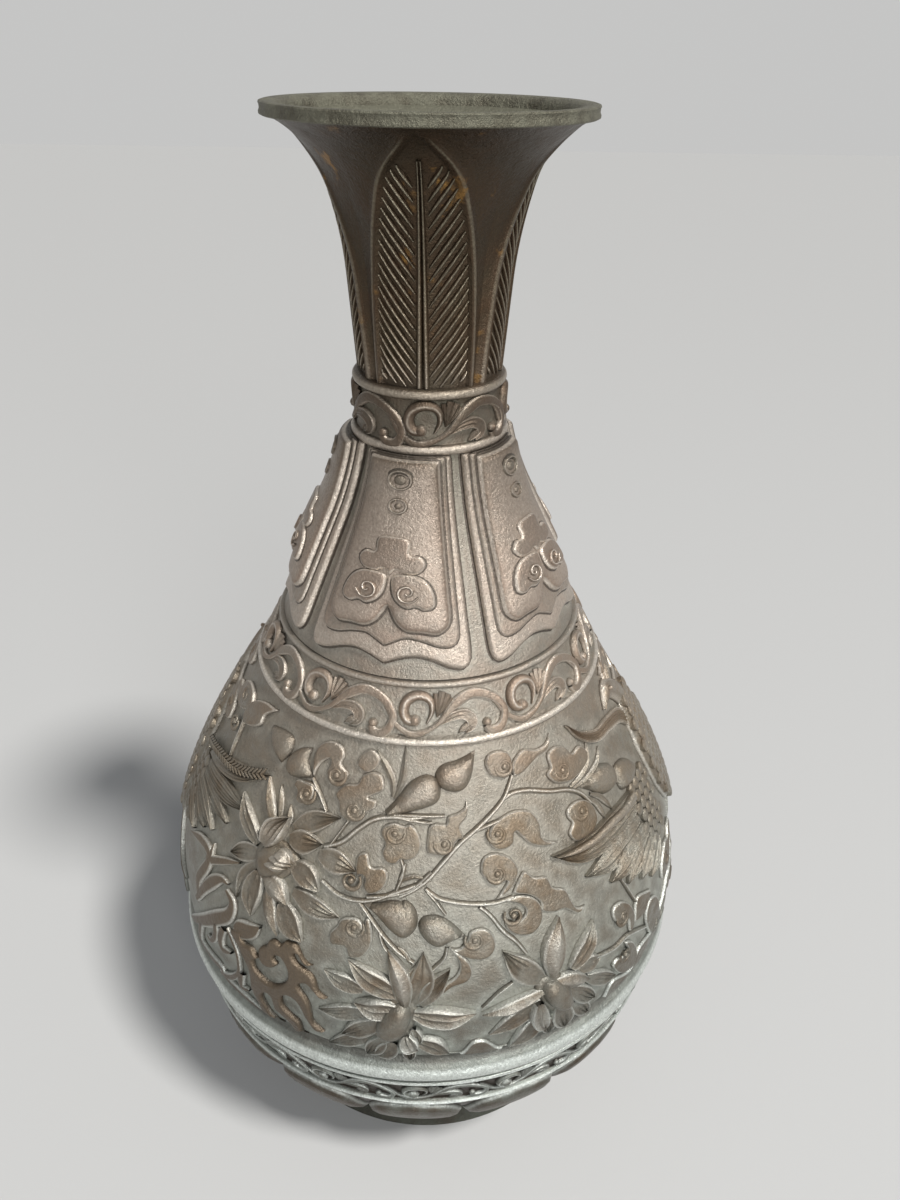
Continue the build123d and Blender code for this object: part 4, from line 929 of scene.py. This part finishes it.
# %% Shoulder panels
PANEL_AZIMUTH = -16.5
CLOUD_HEIGHT = 186.2


def lappet(kind, half, top_half, foot, rise, base, edge, top, scale, zero, line, crown=0.0):
    """Plate with straight sides and a foot given as (degrees, height) from its middle to its corner."""
    side = [(half + (top_half - half) * t, foot[-1][1] + (top - foot[-1][1]) * t) for t in np.linspace(0.06, 1, 9)]
    right_half = list(foot) + side
    left_half = [(-a, z) for a, z in right_half[::-1]][:-1]
    points = [(a + PANEL_AZIMUTH, z) for a, z in right_half + left_half]
    corners = (0, len(right_half) - 1, len(right_half))
    plaque(kind, "shoulder", up("shoulder", points), rise, corners, edge=edge, base=base, step=0.7, grid=1.5,
           crown=crown, start=0.2, scale=scale, zero=zero, line=line)


# the last pair of numbers of each plate gives the height and width of its cord of painted shade
lappet("shoulder_panels", 32.4, 32.0,
       ((0, 168.0), (6, 169.4), (12, 170.0), (18, 169.2), (24, 167.6), (29, 167.0), (31.6, 168.4)),
       1.8, 0.0, 0.9, 215.3, 0.9, 0.5, (0.02, 1.0))
lappet("panel_borders", 28.2, 27.0,
       ((0, 172.0), (4, 173.2), (8, 174.1), (14, 173.6), (20, 172.4), (25, 172.2), (27.6, 173.6)),
       1.0, 1.6, 0.7, 215.0, 0.8, 1.85, (1.8, 0.75))
lappet("panel_plaques", 25.4, 23.5, ((0, 180.7), (3.5, 177.4), (8, 175.6), (14, 175.4), (20, 175.0), (24.2, 176.8)),
       1.7, 2.2, 1.6, 214.6, 1.8, 2.6, (2.6, 0.8), crown=0.9)


def panel_line(kind, height, points, widths, rise, base, along, across, sink, zero, scale=2.5, wear_and_highlight=1.0):
    """A fine cord on a plaque of the panel."""
    stroke(kind, "shoulder", placed("shoulder", PANEL_AZIMUTH, height, points), widths, rise, "cord", (1, 1, 1),
           base=base, along=along, across=across, sink=sink, scale=scale, zero=zero, wear_and_highlight=wear_and_highlight)


for height, size in ((209.6, 2.3), (203.3, 1.8)):
    place = placed("shoulder", PANEL_AZIMUTH, height, [(0, 0)])[0]
    bead("panel_bosses", "shoulder", place, size - 0.9, 1.0, base=4.3, scale=1.6, zero=4.1)
    # a low dark ring round each boss, painted shade at its foot
    panel_line("panel_bosses", height, circle(size, 13), (1.6,) * 3, 0.1, 4.6, 26, 4, -3.2, FULL_SHADE_ZERO, wear_and_highlight=0.0)
    panel_line("panel_bosses", height, circle(size, 13), (0.8,) * 3, 0.9, 4.4, 26, 5, -3.2, 4.5, 1.2)
LOBE = ((0.6, 1.4), (2.6, 2.2), (6.0, 2.0), (8.6, 0.2), (10.2, -2.6), (10.6, -5.4), (8.6, -6.4), (6.6, -5.6),
        (4.6, -6.0), (2.2, -4.6), (0.8, -2.0))
CROWN = ((6.2, 2.6), (7.4, 4.8), (6.0, 6.8), (3.8, 7.0), (3.6, 9.8), (2.2, 11.0))
CROWN_FOOT = ((3.4, 2.2), (1.2, 3.0), (0, 1.6), (-1.2, 3.0), (-3.4, 2.2))
crown_lobe = [(-x, y) for x, y in CROWN] + list(CROWN[::-1]) + list(CROWN_FOOT)
# each cloud lobe gets a low cord round it, painted dark as shade at its foot
for points in (crown_lobe, [(-x, y) for x, y in LOBE], LOBE):
    plaque("panel_clouds", "shoulder", placed("shoulder", PANEL_AZIMUTH, CLOUD_HEIGHT, points), 1.3, edge=1.0, base=4.4,
           grid=1.2, sink=-3.2, scale=1.1, zero=4.7, line=(4.66, 0.8))
for hand in (-1, 1):
    eye = [(hand * x, y) for x, y in spiral(4.4, -2.2, 2.6, 200, 1.4, 0.1)]
    panel_line("panel_clouds", CLOUD_HEIGHT, eye, (0.6, 0.8, 0.8, 0.5), 0.7, 5.6, 30, 4, -4.8, 5.3, 1.2)
print("panels drawn")

# %% [markdown]
# The neck leaves have a doubled midrib and slanting barbs, each of which ends at the edge of its leaf.

# %% Barbs and midribs of the neck leaves
def on_leaf(x, height, side):
    """Degrees round and height of a point x millimetres beside the middle of a neck leaf."""
    return (LEAF_AZIMUTH + side * np.degrees(x / np.interp(height, *CURVES["neck"][:2])), height)


BARB_COUNT, BARB_FOOT, BARB_PITCH = 23, 223.0, 2.75
BARB_START, BARB_SLOPE = 1.7, 1.28          # millimetres beside the middle, and rise for each millimetre out
for side in (-1, 1):
    rib = [on_leaf(0.85 * (1 - 0.6 * t), 231.5 + 49 * t, side) for t in np.linspace(0, 1, 8)]
    stroke("leaf_midribs", "neck", up("neck", rib), (1.5, 1.4, 1.2, 0.9, 0.5), 1.1, "cord", (1, 1, 1, 0.9, 0.6),
           base=-0.8, along=60, across=6, sink=1.2, zero=-0.8, scale=1.3)
    for i in range(BARB_COUNT):
        foot = BARB_FOOT + BARB_PITCH * i
        barb = []
        for t in np.linspace(0, 1, 12):
            x = BARB_START
            for _ in range(8):
                height = foot + (x - BARB_START) * BARB_SLOPE
                x = BARB_START + (max(leaf_half(min(height, LEAF_TIP)) - 0.55, 0.2) - BARB_START) * t
            if LEAF_FOOT + 0.3 <= height < LEAF_TIP - 3 and (not barb or x > last + 0.1):
                last = x
                barb.append(on_leaf(x, height, side))
        if len(barb) > 2 and foot < LEAF_TIP - 9:
            stroke("leaf_barbs", "neck", up("neck", barb), (0.5, 0.95, 0.9, 0.5), 0.8, "cord", (0.7, 1, 1, 0.6),
                   base=-LEAF_DEPTH, along=14, across=4, sink=1.2, zero=-LEAF_DEPTH, scale=0.8, wear_and_highlight=1.4)
print("neck leaves drawn, barbs", len(PIECES["leaf_barbs"]))

# %% Foot petals
PETAL_AZIMUTH = -3
crown = ((0, 41.6), (2.6, 40.6), (5.8, 39.9), (8.8, 38.0), (10.9, 33.0), (11.6, 27.0), (10.9, 20.0), (9.2, 14.2))
outline = [(PETAL_AZIMUTH + a, z) for a, z in crown] + [(PETAL_AZIMUTH - a, z) for a, z in crown[:0:-1]]
plaque("foot_petals", "petals", up("petals", outline), 2.3, (0, 7, 8), edge=5.0, step=0.8, grid=1.6, crown=0.4)
both_sides = [(-a, z) for a, z in crown[:0:-1]] + list(crown)
inner_line = [(PETAL_AZIMUTH + a * 0.76, 14.5 + (z - 14.5) * 0.86) for a, z in both_sides]
stroke("foot_petals", "petals", up("petals", inner_line), (0.9, 1.0, 1.0, 1.0, 0.9), 0.6, "cord", (1, 1, 1), base=1.9,
       along=60, across=5, sink=-1.0)
print("foot petal drawn, pieces", len(PIECES["foot_petals"]))

# %% [markdown]
# Each kind of ornament becomes one piece: its strokes are joined, and the whole is copied round the
# vase, each copy with its own mesh.

# %% Join and repeat
REPEATS = {"lotus_flowers": 2, "flower_buds": 2, "curl_leaves": 2, "vine_stems": 2, "leaf_blades": 2, "phoenixes": 2,
           "phoenix_plumes": 2, "shoulder_scroll": 10, "collar_scroll": 4, "lower_scroll": 18, "shoulder_panels": 5,
           "panel_borders": 5, "panel_plaques": 5, "panel_bosses": 5, "panel_clouds": 5, "leaf_midribs": LEAVES,
           "leaf_barbs": LEAVES, "foot_petals": 15}
RELIEF_CREASE, WALL_CREASE = radians(50), radians(40)
RELIEF = {}


def together(pieces):
    only(pieces[0])
    for piece in pieces[1:]:
        piece.select_set(True)
    if len(pieces) > 1:
        bpy.ops.object.join()
    return bpy.context.object


for kind, count in REPEATS.items():
    one = together(PIECES[kind])
    copies = [one]
    for i in range(1, count):
        copy = one.copy()
        copy.data = one.data.copy()
        copy.data.transform(Matrix.Rotation(tau * i / count, 4, "Z"))
        bpy.context.collection.objects.link(copy)
        copies.append(copy)
    piece = together(copies)
    piece.name = piece.data.name = f"{kind}_relief"
    bpy.ops.object.mode_set(mode="EDIT")
    welded(RELIEF_WELD)
    bpy.ops.object.shade_smooth_by_angle(angle=RELIEF_CREASE)
    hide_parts(kind)
    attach(piece, "root")
    RELIEF[kind] = piece
print("relief faces", {kind: len(piece.data.polygons) for kind, piece in RELIEF.items()})

# %% [markdown]
# Old bronze shows its height: the hollows keep a grey-green film, and the high places are rubbed to
# brown and then to pale metal, which here also paints the highlight on crests and edges. So each wall
# point gets the nearness of the relief as a hollow.

# %% Hollows of the walls beside the relief
def stored(data, name):
    """Values of the points of a mesh."""
    values = np.zeros(len(data.vertices))
    data.attributes[name].data.foreach_get("value", values)
    return values


def shade_hollows(wall, kinds, reach):
    """Marks the outside of a wall near the foot of the relief that stands on it."""
    feet = np.concatenate([xyz(RELIEF[kind].data)[stored(RELIEF[kind].data, "lift") < 0.25] for kind in kinds])
    tree = kdtree.KDTree(len(feet))
    for i, place in enumerate(feet):
        tree.insert(place, i)
    tree.balance()
    near = np.array([tree.find(place)[2] for place in xyz(wall.data)]) / MM
    write(wall.data, hollow=np.maximum(stored(wall.data, "hollow"), np.exp(-(near / reach) ** 2)))


shade_hollows(belly_wall, list(REPEATS)[:7], 3.4)
shade_hollows(band_wall, ["shoulder_scroll"], 1.1)
shade_hollows(collar_wall, ["collar_scroll"], 1.0)
shade_hollows(lower_wall, ["lower_scroll"], 1.4)
shade_hollows(shoulder_wall, ["shoulder_panels"], 1.2)
for wall in WALLS.values():
    only(wall)
    bpy.ops.object.shade_smooth_by_angle(angle=WALL_CREASE)
print("hollows marked")

# %% [markdown]
# One group of nodes makes the patina for every bronze here. It takes how high a point stands, how near
# it is to an edge and how deep in a hollow, and gives out colour, roughness and height. Its colour also
# holds painted shade at the foot of the relief and a painted highlight on crests and edges.

# %% Patina group
def node(tree, kind, **values):
    made = tree.nodes.new(kind)
    for name, value in values.items():
        setattr(made, name, value)
    return made


class Share:
    """An output of a node of the group. Sums, products and the like of shares are nodes of their own."""

    def __init__(self, socket):
        self.socket = socket

    def sum(self, operation, a, b):
        tree = self.socket.id_data
        made = node(tree, "ShaderNodeMath", operation=operation)
        for slot, value in zip(made.inputs, (a, b)):
            if isinstance(value, Share):
                tree.links.new(value.socket, slot)
            else:
                slot.default_value = value
        return Share(made.outputs[0])

    def __add__(self, other):
        return self.sum("ADD", self, other)

    def __radd__(self, other):
        return self.sum("ADD", other, self)

    def __sub__(self, other):
        return self.sum("SUBTRACT", self, other)

    def __rsub__(self, other):
        return self.sum("SUBTRACT", other, self)

    def __mul__(self, other):
        return self.sum("MULTIPLY", self, other)

    def __truediv__(self, other):
        return self.sum("DIVIDE", self, other)

    def held(self):
        """The same, kept between 0 and 1."""
        self.socket.node.use_clamp = True
        return self


# colours up the vase: share of its height, then red, green and blue; the height is in metres. The dark
# stops from .82 up are partly the neck's dark patina and partly painted shade of the neck under its mouth
GROUND = "0 .08,.085,.07; .2 .2,.215,.195; .36 .25,.24,.205; .5 .25,.228,.19; .62 .28,.25,.21; .74 .17,.15,.12; " \
         ".82 .064,.046,.027; .98 .038,.027,.016"
BROWN = "0 .05,.04,.03; .22 .09,.071,.052; .45 .2,.152,.103; .6 .31,.238,.188; .74 .13,.098,.072; " \
        ".85 .062,.034,.018; 1 .05,.03,.016"
FILM = "0 .22,.245,.215; .22 .42,.455,.415; .45 .365,.345,.3; .66 .36,.34,.29; .82 .12,.12,.085; 1 .17,.165,.125"
# pale rubbed metal, which is also the colour of the painted highlight
WEAR_HIGHLIGHT = "0 .46,.48,.45; .24 .72,.76,.72; .5 .72,.66,.58; .72 .62,.54,.46; .84 .26,.22,.16; 1 .24,.22,.16"
# the second colour is painted shade, laid where the relief meets the wall and over shaded grounds
RUST_COLOUR, FOOT_SHADE_COLOUR = (0.21, 0.115, 0.035), (0.045, 0.034, 0.027)
HEIGHT = 0.29


def patina_group():
    group = bpy.data.node_groups.new("Patina", "ShaderNodeTree")
    group.interface.new_socket("Vector", in_out="INPUT", socket_type="NodeSocketVector")
    for name in ("Lift", "Rim", "Hollow", "Brown", "Wear And Highlight", "Film", "Seam", "Rust"):
        group.interface.new_socket(name, in_out="INPUT", socket_type="NodeSocketFloat")
    for name, kind in (("Color", "Color"), ("Roughness", "Float"), ("Height", "Float")):
        group.interface.new_socket(name, in_out="OUTPUT", socket_type=f"NodeSocket{kind}")
    source = node(group, "NodeGroupInput")
    target = node(group, "NodeGroupOutput")
    link = group.links.new
    place = source.outputs[0]
    lift, rim, hollow, brownness, wear_and_highlight, filminess, painted_shade, rust = (Share(socket) for socket in list(source.outputs)[1:9])

    def noise(scale, detail=4.0, rough=0.55):
        made = node(group, "ShaderNodeTexNoise")
        for name, value in (("Scale", scale), ("Detail", detail), ("Roughness", rough)):
            made.inputs[name].default_value = value
        link(place, made.inputs["Vector"])
        return Share(made.outputs[0])

    def blend(share, a, b):
        made = node(group, "ShaderNodeMix", data_type="RGBA")
        link(share.socket, made.inputs[0])
        link(a, made.inputs[6])
        if isinstance(b, tuple):
            made.inputs[7].default_value = (*b, 1)
        else:
            link(b, made.inputs[7])
        return made.outputs[2]

    def ramp(share, text):
        made = node(group, "ShaderNodeValToRGB")
        stops = [row for (row,) in rows(text)]
        while len(made.color_ramp.elements) < len(stops):
            made.color_ramp.elements.new(0.5)
        for element, (position, colour) in zip(made.color_ramp.elements, stops):
            element.position = position
            element.color = (*colour, 1)
        link(share.socket, made.inputs[0])
        return made.outputs[0]

    parts = node(group, "ShaderNodeSeparateXYZ")
    link(place, parts.inputs[0])
    tall = Share(parts.outputs[2]) / HEIGHT
    ground, brown, film, wear_highlight_colour = (ramp(tall, text) for text in (GROUND, BROWN, FILM, WEAR_HIGHLIGHT))
    broad = noise(70.0, 5.0)
    patch = noise(260.0)
    grain = noise(1500.0, 3.0, 0.6)
    fine = noise(4200.0, 2.0, 0.5)
    speckle = broad * 0.55 + patch * 0.45
    brown_share = (brownness * (lift + 0.25) + (speckle - 0.47) * 3.0).held()
    colour = blend(brown_share, ground, brown)
    film_share = (filminess + hollow * 0.75 + (patch * 1.6 - 1.35)).held()
    colour = blend(film_share, colour, film)
    # pale rubbed metal on edges and high places, which also paints the highlight on crests, domes and bead rolls
    edge = ((rim - 0.55) / 0.35).held() * (lift * 3.0).held()
    high = ((lift - 0.8) * 0.7).held()
    wear_highlight_share = ((edge + high).held() * (wear_and_highlight * (0.35 + grain))).held()
    colour = blend(wear_highlight_share, colour, wear_highlight_colour)
    spots = ((patch - 0.54) * 14.0).held() * ((broad - 0.60) * 12.0).held()
    colour = blend(spots * rust, colour, RUST_COLOUR)
    # painted shade: the dark colour where the lift is low, at the foot of the relief and over the ground of walls that
    # are given a share of it
    colour = blend(((1.0 - lift * 4.2).held() * painted_shade).held(), colour, FOOT_SHADE_COLOUR)
    tone = node(group, "ShaderNodeHueSaturation")
    link((1.0 + (grain - 0.5) * 0.55).socket, tone.inputs["Value"])
    link(colour, tone.inputs["Color"])
    link(tone.outputs[0], target.inputs["Color"])
    rough = patch * 0.25 + (0.26 - wear_highlight_share * 0.10) + film_share * 0.22
    link(rough.held().socket, target.inputs["Roughness"])
    link((grain * 0.8 + (fine * 0.35 + patch * 1.2)).socket, target.inputs["Height"])
    return group


PATINA = patina_group()
print("patina", len(PATINA.nodes), "nodes")


# %% The bronzes: shares of brown, worn metal with painted highlight, film, painted shade and rust, then the pieces that have them
def bronze(name, shares, bump=0.0004):
    material = bpy.data.materials.new(name)
    material.use_nodes = True
    tree = material.node_tree
    link = tree.links.new
    shader = tree.nodes["Principled BSDF"]
    patina = node(tree, "ShaderNodeGroup", node_tree=PATINA)
    link(node(tree, "ShaderNodeTexCoord").outputs["Object"], patina.inputs["Vector"])
    for attribute in ("lift", "rim", "hollow"):
        reader = node(tree, "ShaderNodeAttribute", attribute_name=attribute)
        link(reader.outputs["Fac"], patina.inputs[attribute.capitalize()])
    for share, value in zip(("Brown", "Wear And Highlight", "Film", "Seam", "Rust"), shares):
        patina.inputs[share].default_value = value
    link(patina.outputs["Color"], shader.inputs["Base Color"])
    link(patina.outputs["Roughness"], shader.inputs["Roughness"])
    dents = node(tree, "ShaderNodeBump")
    dents.inputs["Strength"].default_value = 0.8
    dents.inputs["Distance"].default_value = bump
    link(patina.outputs["Height"], dents.inputs["Height"])
    link(dents.outputs[0], shader.inputs["Normal"])
    shader.inputs["Metallic"].default_value = 0.65
    shader.inputs["Specular IOR Level"].default_value = 0.3
    return material


# the ledge and the lower walls take painted shade over their ground, so that only their bead crests stay light
BRONZES = {
    "ground": ((1.05, 0.5, 0.26), "belly_wall"),
    "ledge": ((0.0, 0.85, 0.6, 0.5), "ledge_wall"),
    "lower": ((0.0, 0.8, 0.0, 0.95), "foot_section_wall lower_band_wall"),
    "neck": ((0.5, 0.5, 0.0, 0.0, 1.0), "neck_wall"),
    "collar": ((0.3, 0.7, 0.3), "collar_wall"),
    "band": ((0.2, 0.7, 0.4), "shoulder_wall shoulder_band_wall"),
    "scroll": ((0.9, 0.9, 0.05, 0.9), "shoulder_scroll_relief collar_scroll_relief"),
    "low_scroll": ((0.2, 1.1, 0.2, 0.95), "lower_scroll_relief"),
    "barb": ((0.3, 0.85, 0.3, 0.2), "leaf_midribs_relief leaf_barbs_relief"),
    "leaf": ((0.8, 0.9, 0.05, 0.9), "curl_leaves_relief"),
    "flame": ((1.8, 0.7, -0.4, 0.9), "phoenix_plumes_relief"),
    "lotus": ((0.6, 0.9, 0.3, 0.9), "lotus_flowers_relief"),
    "bud": ((0.42, 0.9, 0.15, 0.9), "flower_buds_relief"),
    "vine": ((0.4, 0.6, 0.4, 0.9), "vine_stems_relief leaf_blades_relief"),
    "bird": ((0.5, 0.6, 0.3, 0.9), "phoenixes_relief"),
    "panel": ((0.4, 0.8, 0.25, 0.7), "shoulder_panels_relief panel_borders_relief panel_bosses_relief"),
    "plaque": ((0.75, 1.15, 0.0, 0.7), "panel_plaques_relief panel_clouds_relief"),
    "lip": ((0.0, 0.5, 1.3), "mouth_wall"),
    "petal": ((0.7, 0.5, -0.1, 0.95), "foot_petals_relief"),
}
for name, (shares, pieces) in BRONZES.items():
    material = bronze(f"bronze_{name}", shares, 0.0008 if name == "lip" else 0.0004)
    dressed = [bpy.data.objects[piece] for piece in pieces.split()]
    if name == "ground":
        dressed += [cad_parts["foot_ring"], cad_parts["base_plate"]]
    for piece in dressed:
        piece.data.materials.clear()
        piece.data.materials.append(material)
print("materials", len(BRONZES))

# %% [markdown]
# A plain pale floor under an even sky of the same tone, a soft sun from above on the right, and a
# weaker lamp low in front, which picks out the scrolls under the belly.

# %% Floor, backdrop and light
bpy.ops.object.select_all(action="DESELECT")
bpy.ops.mesh.primitive_plane_add(size=6, location=(0, 0, 0))
floor = fresh("floor")
pale = bpy.data.materials.new("pale_floor")
pale.use_nodes = True
pale.node_tree.nodes["Principled BSDF"].inputs["Base Color"].default_value = (0.52, 0.52, 0.515, 1)
pale.node_tree.nodes["Principled BSDF"].inputs["Roughness"].default_value = 0.8
floor.data.materials.append(pale)

world = bpy.data.worlds.new("even_light")
bpy.context.scene.world = world
world.use_nodes = True
tree = world.node_tree
light_path = node(tree, "ShaderNodeLightPath")
seen_ray = light_path.outputs["Is Camera Ray"]
for kind_of_ray in ("Is Glossy Ray", "Is Transmission Ray"):
    either = node(tree, "ShaderNodeMath", operation="MAXIMUM")
    tree.links.new(seen_ray, either.inputs[0])
    tree.links.new(light_path.outputs[kind_of_ray], either.inputs[1])
    seen_ray = either.outputs[0]
shown = node(tree, "ShaderNodeMix", data_type="RGBA")
tree.links.new(seen_ray, shown.inputs[0])
shown.inputs[6].default_value = (0.18, 0.188, 0.198, 1)
shown.inputs[7].default_value = (0.56, 0.56, 0.555, 1)
tree.links.new(shown.outputs[2], tree.nodes["Background"].inputs["Color"])
tree.nodes["Background"].inputs["Strength"].default_value = 1.0


def lamp(kind, name, place, towards, power, colour):
    """A lamp of one kind that shines along a direction."""
    bpy.ops.object.light_add(type=kind, location=place)
    light = fresh(name)
    light.data.energy = power
    light.data.color = colour
    light.rotation_euler = Vector(towards).to_track_quat("-Z", "Y").to_euler()
    return light.data


lamp("SUN", "key", (0.4, -0.6, 1.2), (-0.55, 0.42, -1.1), 3.25, (1.0, 0.985, 0.96)).angle = radians(10)
FILL_PLACE, FILL_AIM = Vector((0.32, -1.2, 0.55)), Vector((0, 0, 0.13))
lamp("AREA", "front_fill", FILL_PLACE, FILL_AIM - FILL_PLACE, 9, (0.98, 0.99, 1.0)).size = 0.55
bpy.context.scene.view_settings.view_transform = "Standard"
print("stage, world and lamps done")

# %% Last update of the scene
bpy.context.view_layer.update()
